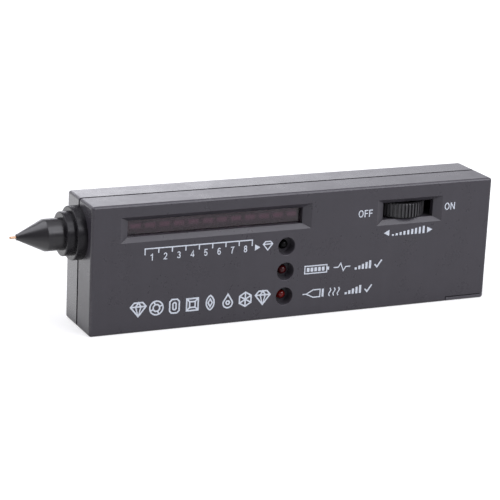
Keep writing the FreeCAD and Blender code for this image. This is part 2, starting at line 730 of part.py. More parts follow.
def lamp(x, z):
    """A 3 mm lamp: domed lens with its flange, one side of it flat."""
    lens = turned([(0, 0, 0),
                   (0, LAMP_RADIUS, LAMP_RADIUS * 0.999),
                   (LAMP_LENGTH - LAMP_FLANGE, LAMP_RADIUS, 0),
                   (LAMP_LENGTH - LAMP_FLANGE, LAMP_FLANGE_RADIUS, 0),
                   (LAMP_LENGTH, LAMP_FLANGE_RADIUS, 0),
                   (LAMP_LENGTH, 0, 0)],
                  V(x, LAMP_TIP_DEPTH, z), V(0, 1, 0))
    flat = box(x + LAMP_RADIUS + SCREW_FIT, x + 2 * LAMP_FLANGE_RADIUS,
               LAMP_TIP_DEPTH, LAMP_TIP_DEPTH + LAMP_LENGTH + 1,
               z - 2 * LAMP_FLANGE_RADIUS, z + 2 * LAMP_FLANGE_RADIUS)
    return lens.cut(flat)


def lamp_leg_places():
    """Every lamp leg's x, z."""
    return [(x + side * LAMP_LEG_PITCH / 2, z)
            for x, z in lamp_places() for side in (-1, 1)]


def lamp_legs():
    """The lamps' legs, from their flanges through the board."""
    return [leg(x, z, LAMP_TIP_DEPTH + LAMP_LENGTH) for x, z in lamp_leg_places()]


# Circuit board

def chip_pin_places(place, count):
    """The x, z of a chip's two rows of pins."""
    x, z = place
    return [(x + (i - (count - 1) / 2) * CHIP_PITCH, z + row * CHIP_ROW / 2)
            for row in (-1, 1) for i in range(count)]


def control_pin_places():
    """The level control's row of pins."""
    z = (CONTROL_BOTTOM + CONTROL_TOP) / 2
    return [(WHEEL_X + (i - (CONTROL_PINS - 1) / 2) * CONTROL_PIN_PITCH, z)
            for i in range(CONTROL_PINS)]


def capacitor_leg_places():
    """The capacitors' legs."""
    return [(x, z + side * CAPACITOR_LEG_PITCH / 2)
            for x, z in CAPACITOR_PLACES for side in (-1, 1)]


def trimmer_leg_places():
    """The trimmer's three legs."""
    x, z = TRIMMER_PLACE
    return [(x - CHIP_PITCH, z - CHIP_PITCH / 2), (x, z + CHIP_PITCH / 2),
            (x + CHIP_PITCH, z - CHIP_PITCH / 2)]


def socket_leg_places():
    """The legs of the socket that takes the probe leads."""
    x = SOCKET_START + SOCKET_DEPTH / 2
    return [(x, PROBE_Z + (i - (PROBE_LEADS - 1) / 2) * CHIP_PITCH)
            for i in range(PROBE_LEADS)]


def sounder_leg_places():
    """The sounder's two legs."""
    x, z = SOUNDER_PLACE
    return [(x, z + side * SOUNDER_LEG_PITCH / 2) for side in (-1, 1)]


def resistor_places():
    """The resistors' centres."""
    return [(RESISTOR_START + i * RESISTOR_PITCH, RESISTOR_Z)
            for i in range(RESISTOR_COUNT)]


def resistor_leg_places():
    """Where the resistors' wires go into the board."""
    return [(x, z + side * RESISTOR_SPAN / 2)
            for x, z in resistor_places() for side in (-1, 1)]


def leg_places():
    """Every place where a leg goes through the board."""
    return (lamp_leg_places() + chip_pin_places(DRIVER_PLACE, DRIVER_PINS)
            + chip_pin_places(AMPLIFIER_PLACE, AMPLIFIER_PINS) + control_pin_places()
            + capacitor_leg_places() + trimmer_leg_places() + socket_leg_places()
            + sounder_leg_places() + resistor_leg_places())


def main_board():
    """The board, cut away below the wheel's slot and over the battery."""
    tab_bottom = CEILING_TOP + BOARD_TAB_GAP
    slot_start = WHEEL_X - WHEEL_RADIUS - BOARD_TAB_GAP
    strip_bottom = WHEEL_TOP + CONTROL_GAP
    strip_end = WHEEL_X + WHEEL_RADIUS + 2 * BOARD_TAB_GAP
    corners = [(BOARD_START, BOARD_BOTTOM), (BOARD_END, BOARD_BOTTOM),
               (BOARD_END, tab_bottom), (slot_start, tab_bottom),
               (slot_start, strip_bottom), (strip_end, strip_bottom),
               (strip_end, BOARD_TOP), (BOARD_START, BOARD_TOP)]
    loop = [V(x, BOARD_FRONT, z) for x, z in corners]
    outline = Part.Face(Part.makePolygon(loop + loop[:1]))
    board = outline.extrude(V(0, BOARD_THICKNESS, 0))
    hole = LEG / 2 + LEG_HOLE_FIT
    tools = [box(x - hole, x + hole, BOARD_FRONT - 1, BOARD_BACK + 1, z - hole, z + hole)
             for x, z in leg_places()]
    for x, z in CASE_BOSSES:
        tools.append(rod_y(BOARD_FRONT - 1, BOARD_BACK + 1, x, z,
                           CASE_BOSS_NECK_RADIUS + BOARD_HOLE_FIT))
    for x, z in BOARD_POSTS:
        tools.append(rod_y(BOARD_FRONT - 1, BOARD_BACK + 1, x, z,
                           BOARD_SCREW_RADIUS + BOARD_HOLE_FIT))
    return board.cut(Part.makeCompound(tools))


def chip(place, length):
    """A dual in-line chip, with the notch at one end of its face."""
    x, z = place
    back = BOARD_FRONT - CHIP_STANDOFF
    front = back - CHIP_THICKNESS
    body = box(x - length / 2, x + length / 2, front, back,
               z - CHIP_WIDTH / 2, z + CHIP_WIDTH / 2)
    notch = rod_y(front - 1, front + CHIP_STANDOFF, x - length / 2, z, CHIP_STANDOFF)
    return body.cut(notch)


def chip_pins(place, count):
    """A chip's pins: a shoulder out of its side, bent into the board."""
    back = BOARD_FRONT - CHIP_STANDOFF
    shoulder_y = back - CHIP_THICKNESS / 2
    pins = []
    for x, z in chip_pin_places(place, count):
        side = 1 if z > place[1] else -1
        edge = place[1] + side * CHIP_WIDTH / 2
        outer = z + side * LEG / 2
        shoulder = box(x - LEG / 2, x + LEG / 2,
                       shoulder_y - CHIP_PIN_THICKNESS / 2,
                       shoulder_y + CHIP_PIN_THICKNESS / 2,
                       min(edge, outer), max(edge, outer))
        pins.append(fused(shoulder, leg(x, z, shoulder_y - CHIP_PIN_THICKNESS / 2)))
    return pins


def capacitors():
    """Upright cans with a rolled groove and a bevelled crown."""
    cans = []
    groove = CAPACITOR_RADIUS - 0.25
    for x, z in CAPACITOR_PLACES:
        cans.append(turned([(0, 0, 0),
                            (0, CAPACITOR_RADIUS, 0.3),
                            (CAPACITOR_LENGTH - 2.0, CAPACITOR_RADIUS, 0),
                            (CAPACITOR_LENGTH - 1.6, groove, 0),
                            (CAPACITOR_LENGTH - 1.2, CAPACITOR_RADIUS, 0),
                            (CAPACITOR_LENGTH, CAPACITOR_RADIUS, 0.3),
                            (CAPACITOR_LENGTH, 0, 0)],
                           V(x, BOARD_FRONT - CAPACITOR_LENGTH, z), V(0, 1, 0)))
    return cans


def resistors():
    """Small axial resistors with rounded ends."""
    bodies = []
    height = BOARD_FRONT - RESISTOR_RADIUS - SCREW_FIT
    for x, z in resistor_places():
        bodies.append(turned([(0, 0, 0),
                              (0, RESISTOR_RADIUS, 0.4),
                              (RESISTOR_LENGTH, RESISTOR_RADIUS, 0.4),
                              (RESISTOR_LENGTH, 0, 0)],
                             V(x, height, z - RESISTOR_LENGTH / 2), V(0, 0, 1)))
    return bodies


def resistor_wires():
    """The resistors' wires, bent into the board."""
    height = BOARD_FRONT - RESISTOR_RADIUS - SCREW_FIT
    wires = []
    for x, z in resistor_places():
        for side in (-1, 1):
            start = V(x, height, z + side * RESISTOR_LENGTH / 2)
            corner = V(x, height, z + side * RESISTOR_SPAN / 2)
            end = V(x, BOARD_BACK + LEG_THROUGH, z + side * RESISTOR_SPAN / 2)
            wires.append(bent_wire([start, corner, end], RESISTOR_WIRE, RESISTOR_BEND))
    return wires


def component_legs():
    """Legs of the capacitors, trimmer, probe socket, sounder and resistors."""
    places = capacitor_leg_places() + trimmer_leg_places() + socket_leg_places()
    legs = [leg(x, z, BOARD_FRONT) for x, z in places]
    for x, z in sounder_leg_places():
        legs.append(box(x - LEG / 2, x + LEG / 2, BOARD_FRONT - LEG_THROUGH, BOARD_BACK,
                        z - LEG / 2, z + LEG / 2))
    return legs + resistor_wires()


def trimmer():
    """A square trimmer with a slotted dial."""
    x, z = TRIMMER_PLACE
    front = BOARD_FRONT - TRIMMER_HEIGHT
    half = TRIMMER_SIDE / 2
    body = box(x - half, x + half, front, BOARD_FRONT, z - half, z + half)
    dial = rod_y(front - LEG, front + MERGE, x, z, TRIMMER_DIAL_RADIUS)
    slot = box(x - TRIMMER_DIAL_RADIUS, x + TRIMMER_DIAL_RADIUS, front - 1, front,
               z - DIAL_SLOT / 2, z + DIAL_SLOT / 2)
    return fused(body, dial).cut(slot)


def sounder():
    """The beeper, on the back of the board."""
    x, z = SOUNDER_PLACE
    return turned([(0, 0, 0),
                   (0, SOUNDER_RADIUS, 0),
                   (SOUNDER_HEIGHT, SOUNDER_RADIUS, 0.5),
                   (SOUNDER_HEIGHT, SOUNDER_MOUTH_RADIUS, 0),
                   (SOUNDER_HEIGHT - 1.2, SOUNDER_MOUTH_RADIUS, 0),
                   (SOUNDER_HEIGHT - 1.2, 0, 0)],
                  V(x, BOARD_BACK, z), V(0, 1, 0))


def probe_socket():
    """The socket on the board that takes the probe leads."""
    return box(SOCKET_START, SOCKET_START + SOCKET_DEPTH,
               BOARD_FRONT - SOCKET_THICKNESS, BOARD_FRONT,
               PROBE_Z - SOCKET_HEIGHT / 2, PROBE_Z + SOCKET_HEIGHT / 2)


# Thumbwheel and level control

def thumbwheel():
    """The ribbed wheel: straight ribs on a chamfered rim, a thin web and a
    hub that is sunk below for its screw."""
    outer = WHEEL_RADIUS
    root = WHEEL_RADIUS - WHEEL_RIB_DEPTH
    step = 2 * math.pi / WHEEL_RIBS
    crest = WHEEL_RIB_CREST / 2 / outer
    foot = WHEEL_RIB_FOOT / 2 / root
    points = []
    for i in range(WHEEL_RIBS):
        for radius, angle in ((root, i * step - foot), (outer, i * step - crest),
                              (outer, i * step + crest), (root, i * step + foot)):
            points.append(V(radius * math.cos(angle), radius * math.sin(angle), 0))
    ribbed = Part.Face(Part.makePolygon(points + points[:1]))
    ribbed = ribbed.extrude(V(0, 0, WHEEL_THICKNESS))
    chamfer = WHEEL_RIM_CHAMFER
    disc = turned([(0, 0, 0),
                   (0, outer - chamfer, 0),
                   (chamfer, outer + SCREW_FIT, 0),
                   (WHEEL_THICKNESS - chamfer, outer + SCREW_FIT, 0),
                   (WHEEL_THICKNESS, outer - chamfer, 0),
                   (WHEEL_THICKNESS, 0, 0)],
                  V(0, 0, 0), V(0, 0, 1))
    wheel = ribbed.common(disc)
    ring = (Part.makeCylinder(WHEEL_RIM_RADIUS, WHEEL_WEB_RECESS)
            .cut(Part.makeCylinder(WHEEL_HUB_RADIUS, WHEEL_WEB_RECESS)))
    wheel = wheel.cut(ring)
    upper = ring.copy()
    upper.translate(V(0, 0, WHEEL_THICKNESS - WHEEL_WEB_RECESS))
    wheel = wheel.cut(upper)
    wheel.translate(V(WHEEL_X, WHEEL_Y, WHEEL_BOTTOM))
    collar = rod_z(WHEEL_TOP - MERGE, CONTROL_BOTTOM - CONTROL_HUB_GAP,
                   WHEEL_X, WHEEL_Y, WHEEL_HUB_RADIUS - MERGE)
    wheel = fused(wheel, collar)
    bore = rod_z(WHEEL_BOTTOM, CONTROL_BOTTOM, WHEEL_X, WHEEL_Y, SPINDLE_RADIUS)
    sink = rod_z(WHEEL_BOTTOM - 1, WHEEL_BOTTOM + WHEEL_SCREW_RECESS, WHEEL_X, WHEEL_Y,
                 WHEEL_SCREW_HEAD_RADIUS + 2 * CASE_HEAD_FIT)
    return cut(wheel, bore, sink)


def wheel_spindle():
    """The spindle, from the wheel's hub into the level control."""
    bottom = WHEEL_BOTTOM + WHEEL_SCREW_RECESS
    spindle = rod_z(bottom, CONTROL_TOP - CONTROL_GAP, WHEEL_X, WHEEL_Y, SPINDLE_RADIUS)
    pilot = rod_z(bottom - 1, bottom + WHEEL_SCREW_LENGTH, WHEEL_X, WHEEL_Y,
                  WHEEL_SCREW_RADIUS + SCREW_FIT)
    return spindle.cut(pilot)


def cross_recess(depth):
    """The tapered cross of a screw's head, along x from its mouth."""
    arms = []
    for turn in (0, 90):
        arm = frustum(0, 0, 0, SCREW_CROSS_SPAN, SCREW_CROSS_WIDTH,
                      depth, SCREW_CROSS_WIDTH, 0.6 * SCREW_CROSS_WIDTH)
        arm.rotate(V(0, 0, 0), V(0, 1, 0), turn)
        arms.append(arm)
    cross = arms[0].fuse(arms[1])
    cross.rotate(V(0, 0, 0), V(0, 0, 1), -90)
    return cross


def cross_screw(head_seat, axis, shank_radius, length, head_radius, head):
    """A pan-head screw: shank ahead of the seat, cross-recessed head behind it."""
    screw = turned([(-head, 0, 0),
                    (-head, head_radius, 0.35 * head),
                    (0, head_radius, 0),
                    (0, shank_radius, 0),
                    (length - shank_radius, shank_radius, 0),
                    (length, 0.25 * shank_radius, 0),
                    (length, 0, 0)],
                   head_seat, axis)
    cross = cross_recess(SCREW_CROSS_DEPTH)
    cross.translate(V(-head, 0, 0))
    place = FreeCAD.Placement(head_seat, FreeCAD.Rotation(V(1, 0, 0), axis))
    cross.Placement = place.multiply(cross.Placement)
    return screw.cut(cross)


def wheel_screw():
    """The screw that holds the wheel on its spindle, from below."""
    seat = V(WHEEL_X, WHEEL_Y, WHEEL_BOTTOM + WHEEL_SCREW_RECESS)
    return cross_screw(seat, V(0, 0, 1), WHEEL_SCREW_RADIUS,
                         WHEEL_SCREW_LENGTH - FIT_GAP, WHEEL_SCREW_HEAD_RADIUS,
                         WHEEL_SCREW_HEAD)


def level_control():
    """The switched level control, on the front of the board over the wheel."""
    body = rounded_box(WHEEL_X - CONTROL_WIDTH / 2, WHEEL_X + CONTROL_WIDTH / 2,
                       CONTROL_FRONT, BOARD_FRONT, CONTROL_BOTTOM, CONTROL_TOP,
                       CONTROL_CORNER, V(0, 0, 1))
    bore = rod_z(CONTROL_BOTTOM - 1, CONTROL_TOP - CONTROL_GAP + FIT_GAP,
                 WHEEL_X, WHEEL_Y, SPINDLE_RADIUS + RUNNING_FIT)
    return body.cut(bore)


def level_control_pins():
    """The level control's pins, through the board."""
    return [leg(x, z, BOARD_FRONT) for x, z in control_pin_places()]


# Probe

def on_probe(points):
    """A piece turned about the probe's axis, with x from the nose-end wall."""
    return turned(points, V(0, PROBE_Y, PROBE_Z), V(1, 0, 0))


def probe_collar():
    """The stepped collar, whose spigot goes through the end wall."""
    counterbore = CONE_TAIL_RADIUS + RUNNING_FIT
    floor = RINGS_FRONT + CONE_TAIL + FIT_GAP
    return on_probe([(RINGS_FRONT, counterbore, 0),
                     (RINGS_FRONT, RING_FRONT_RADIUS, RING_ROUND),
                     (-RING_BACK_LENGTH, RING_FRONT_RADIUS, 0),
                     (-RING_BACK_LENGTH, RING_BACK_RADIUS, RING_ROUND),
                     (0, RING_BACK_RADIUS, 0),
                     (0, SPIGOT_RADIUS, 0),
                     (SPIGOT_LENGTH, SPIGOT_RADIUS, 0),
                     (SPIGOT_LENGTH, SEAT_RADIUS + SCREW_FIT, 0),
                     (SEAT_FRONT, SEAT_RADIUS + SCREW_FIT, 0),
                     (SEAT_FRONT, PROBE_BORE_RADIUS, 0),
                     (floor, PROBE_BORE_RADIUS, 0),
                     (floor, counterbore, 0)])


def probe_nut():
    """The hexagon nut behind the end wall."""
    radius = NUT_ACROSS_FLATS / math.sqrt(3)
    points = [V(0, radius * math.cos(math.radians(60 * i + 30)),
                radius * math.sin(math.radians(60 * i + 30))) for i in range(6)]
    nut = Part.Face(Part.makePolygon(points + points[:1])).extrude(V(NUT_THICKNESS, 0, 0))
    nut.translate(V(WALL, PROBE_Y, PROBE_Z))
    return nut.cut(rod_x(0, WALL + NUT_THICKNESS + 1, PROBE_Y, PROBE_Z,
                         SPIGOT_RADIUS + SCREW_FIT))


def probe_cone():
    """The hollow cone: a short barrel, a long taper and a rounded end that
    guides the pin; its tail seats in the collar."""
    bore = CARRIER_RADIUS + CARRIER_BORE_FIT
    bore_end = RINGS_FRONT - CONE_WALL_AT_BORE_END
    guide = PIN_RADIUS + RUNNING_FIT
    return on_probe([(CONE_FRONT, guide, 0),
                     (CONE_FRONT, CONE_TIP_RADIUS, CONE_TIP_ROUND * 0.8),
                     (CONE_TAPER_END, CONE_TIP_RADIUS, 0),
                     (CONE_SHOULDER, CONE_RADIUS, CONE_SHOULDER_ROUND),
                     (RINGS_FRONT, CONE_RADIUS, 0),
                     (RINGS_FRONT, CONE_TAIL_RADIUS, 0),
                     (RINGS_FRONT + CONE_TAIL, CONE_TAIL_RADIUS, 0),
                     (RINGS_FRONT + CONE_TAIL, bore, 0),
                     (bore_end, bore, 0),
                     (bore_end - bore + guide, guide, 0)])


def probe_carrier():
    """The heated block that carries the pin."""
    return on_probe([(CARRIER_FRONT, PIN_RADIUS, 0),
                     (CARRIER_FRONT, CARRIER_RADIUS, 0.3),
                     (CARRIER_BACK, CARRIER_RADIUS, 0.3),
                     (CARRIER_BACK, 0, 0),
                     (CARRIER_FRONT + PIN_IN_CARRIER, 0, 0),
                     (CARRIER_FRONT + PIN_IN_CARRIER, PIN_RADIUS, 0)])


def probe_pin():
    """The copper pin, with a rounded end."""
    return on_probe([(PIN_FRONT, 0, 0),
                     (PIN_FRONT, PIN_RADIUS, PIN_RADIUS * 0.9),
                     (CARRIER_FRONT + PIN_IN_CARRIER, PIN_RADIUS, 0),
                     (CARRIER_FRONT + PIN_IN_CARRIER, 0, 0)])


def probe_spring():
    """The coil spring between the carrier and its seat, its helix drawn as
    quarter-turn arcs."""
    start = CARRIER_BACK + SPRING_WIRE
    rise = (SEAT_FRONT - CARRIER_BACK - 2 * SPRING_WIRE) / SPRING_TURNS

    def on_helix(turns):
        angle = 2 * math.pi * turns
        return V(start + rise * turns, PROBE_Y + SPRING_RADIUS * math.cos(angle),
                 PROBE_Z + SPRING_RADIUS * math.sin(angle))

    quarters = [i / 4 for i in range(4 * SPRING_TURNS)]
    arcs = [Part.Arc(on_helix(q), on_helix(q + 1 / 8), on_helix(q + 1 / 4)).toShape()
            for q in quarters]
    heading = arcs[0].tangentAt(arcs[0].FirstParameter)
    section = Part.Wire([Part.Circle(on_helix(0), heading, SPRING_WIRE).toShape()])
    return Part.Wire(arcs).makePipeShell([section], True, False)


def probe_lead_heights():
    """The z of each probe lead."""
    return [PROBE_Z + (i - (PROBE_LEADS - 1) / 2) * PROBE_LEAD_PITCH
            for i in range(PROBE_LEADS)]


def probe_seat():
    """The plug in the collar that backs the spring and lets the leads out."""
    seat = on_probe([(SEAT_FRONT, 0, 0),
                     (SEAT_FRONT, SEAT_RADIUS, 0),
                     (SPIGOT_LENGTH, SEAT_RADIUS, 0.2),
                     (SPIGOT_LENGTH, 0, 0)])
    holes = [rod_x(SPIGOT_LENGTH - SEAT_LENGTH / 2, SPIGOT_LENGTH + 1, PROBE_Y, z,
                   PROBE_LEAD_RADIUS + SCREW_FIT) for z in probe_lead_heights()]
    return cut(seat, *holes)


def probe_leads():
    """The three short leads from the seat to the socket."""
    return [rod_x(SPIGOT_LENGTH - SEAT_LENGTH / 2, SOCKET_START, PROBE_Y, z,
                  PROBE_LEAD_RADIUS) for z in probe_lead_heights()]


# Battery

def battery_block(inset):
    """The battery's outside, or its inside at the jacket's thickness."""
    return rounded_box(BATTERY_START + inset, BATTERY_END - inset,
                       BATTERY_FRONT + inset, BATTERY_BACK - inset,
                       BATTERY_BOTTOM + inset, BATTERY_TOP - inset,
                       BATTERY_CORNER - inset, V(1, 0, 0))


def battery_jacket():
    """The battery's steel jacket."""
    return battery_block(0).cut(battery_block(BATTERY_JACKET))


def battery_cells():
    """The six round cells inside the jacket."""
    columns, rows = 2, 3
    inside_y = BATTERY_THICKNESS - 2 * BATTERY_JACKET
    inside_z = BATTERY_HEIGHT - 2 * BATTERY_JACKET
    radius = min(inside_y / columns, inside_z / rows) / 2 - FIT_GAP
    cells = []
    for column in range(columns):
        for row in range(rows):
            y = BATTERY_FRONT + BATTERY_JACKET + (column + 0.5) * inside_y / columns
            z = BATTERY_BOTTOM + BATTERY_JACKET + (row + 0.5) * inside_z / rows
            cells.append(rod_x(BATTERY_START + BATTERY_JACKET + FIT_GAP,
                               BATTERY_END - BATTERY_JACKET - FIT_GAP, y, z, radius))
    return cells


def terminal_places():
    """The stud's and the socket's y, z."""
    y = (BATTERY_FRONT + BATTERY_BACK) / 2
    z = (BATTERY_BOTTOM + BATTERY_TOP) / 2
    return (y, z - TERMINAL_SPACING / 2), (y, z + TERMINAL_SPACING / 2)


def battery_terminals():
    """The round stud and the wider socket."""
    (stud_y, stud_z), (socket_y, socket_z) = terminal_places()
    neck = STUD_RADIUS - 0.35
    stud = turned([(0, 0, 0),
                   (0, neck, 0),
                   (TERMINAL_HEIGHT * 0.4, neck, 0),
                   (TERMINAL_HEIGHT * 0.6, STUD_RADIUS, 0),
                   (TERMINAL_HEIGHT, STUD_RADIUS, 0.4),
                   (TERMINAL_HEIGHT, 0, 0)],
                  V(BATTERY_START, stud_y, stud_z), V(-1, 0, 0))
    inside = STUD_RADIUS + 2 * FIT_GAP
    socket = turned([(0, 0, 0),
                     (0, SOCKET_RADIUS, 0),
                     (TERMINAL_HEIGHT, SOCKET_RADIUS, 0.3),
                     (TERMINAL_HEIGHT, inside, 0),
                     (LEG, inside, 0),
                     (LEG, 0, 0)],
                    V(BATTERY_START, socket_y, socket_z), V(-1, 0, 0))
    return [stud, socket]


def battery_snap():
    """The snap-on cap over both terminals."""
    (stud_y, stud_z), (socket_y, socket_z) = terminal_places()
    middle = (stud_z + socket_z) / 2
    plate = rounded_box(SNAP_START, SNAP_END, stud_y - SNAP_WIDTH / 2,
                        stud_y + SNAP_WIDTH / 2, middle - SNAP_HEIGHT / 2,
                        middle + SNAP_HEIGHT / 2, SNAP_CORNER, V(1, 0, 0))
    floor = BATTERY_START - TERMINAL_HEIGHT - SNAP_FRONT_GAP
    stud_pocket = rod_x(floor, SNAP_END + 1, stud_y, stud_z, STUD_RADIUS + FIT_GAP)
    socket_pocket = rod_x(floor, SNAP_END + 1, socket_y, socket_z,
                          SOCKET_RADIUS + FIT_GAP)
    middle_stud = rod_x(floor - MERGE, BATTERY_START - LEG - FIT_GAP,
                        socket_y, socket_z, STUD_RADIUS)
    return fused(cut(plate, stud_pocket, socket_pocket), middle_stud)


def snap_lead_heights():
    """The z of the two battery leads, near the snap's upper end."""
    top = (BATTERY_BOTTOM + BATTERY_TOP) / 2 + SNAP_HEIGHT / 2 - SNAP_CORNER
    return top - SNAP_LEAD_PITCH, top


def snap_lead(z):
    """A lead from the snap, through the partition, round to the board."""
    end_x = BOARD_END - SNAP_LEAD_BOARD
    return bent_wire([V(SNAP_START, SNAP_LEAD_Y, z),
                      V(end_x, SNAP_LEAD_Y, z),
                      V(end_x, BOARD_FRONT, z)], SNAP_LEAD_RADIUS, SNAP_LEAD_BEND)


def battery_pad():
    """The foam that keeps the battery from rattling."""
    inset = 2 * BATTERY_CORNER
    return box(BATTERY_START + inset, BATTERY_END - inset, BATTERY_BACK, INSIDE_BACK,
               BATTERY_BOTTOM + inset, BATTERY_TOP - inset)


# Screws

def case_screws():
    """Four screws from the back."""
    return [cross_screw(V(x, CASE_HEAD_SEAT, z), V(0, -1, 0), CASE_SCREW_RADIUS,
                          CASE_SCREW_LENGTH, CASE_SCREW_HEAD_RADIUS, CASE_SCREW_HEAD)
            for x, z in CASE_BOSSES]


def board_screws():
    """Screws from the back of the board into its posts."""
    return [cross_screw(V(x, BOARD_BACK, z), V(0, -1, 0), BOARD_SCREW_RADIUS,
                          BOARD_SCREW_LENGTH, BOARD_SCREW_HEAD_RADIUS, BOARD_SCREW_HEAD)
            for x, z in BOARD_POSTS]


def build():
    """Every node's name and shape or list of shapes."""
    lamps = lamp_places()
    low_lead, high_lead = snap_lead_heights()
    return {
        "front_shell": front_shell(),
        "rear_shell": rear_shell(),
        "battery_door": battery_door(),
        "display_window": display_window(),
        "bar_housing": bar_housing(),
        "light_bars": light_bars(),
        "lamp_upper": lamp(*lamps[0]),
        "lamp_middle": lamp(*lamps[1]),
        "lamp_lower": lamp(*lamps[2]),
        "lamp_legs": lamp_legs(),
        "main_board": main_board(),
        "driver_chip": chip(DRIVER_PLACE, DRIVER_LENGTH),
        "amplifier_chip": chip(AMPLIFIER_PLACE, AMPLIFIER_LENGTH),
        "chip_pins": (chip_pins(DRIVER_PLACE, DRIVER_PINS)
                      + chip_pins(AMPLIFIER_PLACE, AMPLIFIER_PINS)),
        "capacitors": capacitors(),
        "resistors": resistors(),
        "component_legs": component_legs(),
        "trimmer": trimmer(),
        "sounder": sounder(),
        "probe_socket": probe_socket(),
        "thumbwheel": thumbwheel(),
        "wheel_spindle": wheel_spindle(),
        "wheel_screw": wheel_screw(),
        "level_control": level_control(),
        "level_control_pins": level_control_pins(),
        "probe_collar": probe_collar(),
        "probe_nut": probe_nut(),
        "probe_cone": probe_cone(),
        "probe_carrier": probe_carrier(),
        "probe_pin": probe_pin(),
        "probe_spring": probe_spring(),
        "probe_seat": probe_seat(),
        "probe_leads": probe_leads(),
        "battery_jacket": battery_jacket(),
        "battery_cells": battery_cells(),
        "battery_terminals": battery_terminals(),
        "battery_snap": battery_snap(),
        "snap_lead_red": snap_lead(low_lead),
        "snap_lead_black": snap_lead(high_lead),
        "battery_pad": battery_pad(),
        "case_screws": case_screws(),
        "board_screws": board_screws(),
    }


def main():
    """Builds every piece and writes each one's STEP file."""
    os.makedirs("parts", exist_ok=True)
    for name, made in build().items():
        shape = Part.makeCompound(made) if isinstance(made, list) else made
        shape.translate(V(0, 0, 0) - ROW_ORIGIN)
        assert shape.isValid(), name
        shape.exportStep(f"parts/{name}.step")
        box_of = shape.BoundBox
        print(f"{name:20s} solids {len(shape.Solids):3d}  volume {shape.Volume:9.2f}  "
              f"x {box_of.XMin:7.2f} {box_of.XMax:7.2f}  y {box_of.YMin:6.2f} "
              f"{box_of.YMax:6.2f}  z {box_of.ZMin:6.2f} {box_of.ZMax:6.2f}")


main()
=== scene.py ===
"""Looks of the hand-held diamond tester: the finish of every piece, the print on
its face, and the floor, lights and camera of a plain product photograph."""
import math

import bpy
from mathutils import Matrix, Vector
from mathutils.geometry import delaunay_2d_cdt


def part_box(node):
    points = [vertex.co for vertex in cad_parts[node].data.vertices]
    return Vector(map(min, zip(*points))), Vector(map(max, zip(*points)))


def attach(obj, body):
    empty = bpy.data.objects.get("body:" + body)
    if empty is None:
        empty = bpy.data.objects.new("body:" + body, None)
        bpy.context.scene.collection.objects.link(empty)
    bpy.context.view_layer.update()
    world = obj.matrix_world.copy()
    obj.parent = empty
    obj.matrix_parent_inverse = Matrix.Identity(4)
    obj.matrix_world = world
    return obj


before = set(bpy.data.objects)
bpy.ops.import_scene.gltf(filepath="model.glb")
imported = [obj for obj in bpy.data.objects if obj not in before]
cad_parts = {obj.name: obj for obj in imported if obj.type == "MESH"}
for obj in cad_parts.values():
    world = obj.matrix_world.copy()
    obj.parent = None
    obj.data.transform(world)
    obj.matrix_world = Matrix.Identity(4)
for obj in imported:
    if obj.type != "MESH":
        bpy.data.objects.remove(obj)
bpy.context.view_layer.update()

MM = 0.001

# The case in the frame: its corners, its display face and its end at the nose
front_low, front_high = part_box("front_shell")
CASE_LOW = front_low
CASE_HIGH = Vector((front_high.x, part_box("rear_shell")[1].y, front_high.z))
FACE_Y = front_low.y
NOSE_END_X = front_low.x

# Camera, solved from the case's edges in the photograph, its lens and sensor in mm
CAMERA_PLACE = Vector((-254.03, -533.20, 193.96)) * MM
CAMERA_AZIMUTH = math.radians(-25.41)
CAMERA_ELEVATION = math.radians(16.46)
CAMERA_ROLL = math.radians(2.70)
CAMERA_LENS = 143.207
CAMERA_SENSOR = 36.0
CAMERA_NEAR = 0.01

# Lamps: each softbox's place and size in metres, and its radiance, 1 being plain white
SOFTBOXES = {
    "left_softbox": ((-0.32, 0.17, 0.80), (0.95, 0.60), 3.1),
    "right_softbox": ((0.41, -0.48, 0.65), (0.82, 0.78), 3.4),
    "low_softbox": ((0.45, -0.76, 0.56), (0.42, 0.18), 4.6),
}
SOFTBOX_AIM = (0, 0, 0.02)

# The tint of all light, and the level at which the surround lights matt surfaces
LIGHT_TINT = (0.975, 0.975, 1.04)
SURROUND_LIGHT = 0.45

# What gloss mirrors: levels, and where in x, y or z of a direction they change
ROOM_MIRRORED = 0.42
CEILING_MIRRORED = 0.35
OVERHEAD_MIRRORED = 1.3
ROOM_TO_BACKDROP_Y = (-0.3, 0.3)
BACKDROP_TO_CEILING_Z = (0.33, 0.60)
CEILING_TO_OVERHEAD_Z = (0.84, 0.93)
REAR_GLOW = (1.95, 0.10)
REAR_GLOW_START_X = (-0.18, -0.08)
REAR_GLOW_FADE_X = (0.33, 0.50)
REAR_GLOW_START_Y = (0.3, 0.6)
REAR_GLOW_START_Z = (0.10, 0.17)
REAR_GLOW_END_Z = (0.36, 0.44)

# Floor: its colour, its glow as seen and in gloss, and where that glow changes
FLOOR_COLOUR = (0.45, 0.45, 0.45)
FLOOR_REACH = 6.0
FLOOR_SEEN = (0.60, 1.00)
FLOOR_SEEN_DISTANCE = (0.12, 0.5)
FLOOR_FRONT = (0.055, 0.125)
FLOOR_FRONT_X = (NOSE_END_X, CASE_HIGH.x)
FLOOR_FRONT_Y = (2 * FACE_Y, FACE_Y)
FLOOR_BESIDE = (0.57, 0.0)
FLOOR_BESIDE_X = (1.08 * NOSE_END_X, NOSE_END_X)
FLOOR_BESIDE_Y = (5 * FACE_Y, 3 * FACE_Y)
FLOOR_BEHIND = (0.26, 0.53)
FLOOR_BEHIND_Y = (CASE_HIGH.y, 85 * MM)

# How rough every noise pattern is
NOISE_ROUGHNESS = 0.55

# The case's black, a little violet
CASE_BLACK = (0.0450, 0.0415, 0.0490)

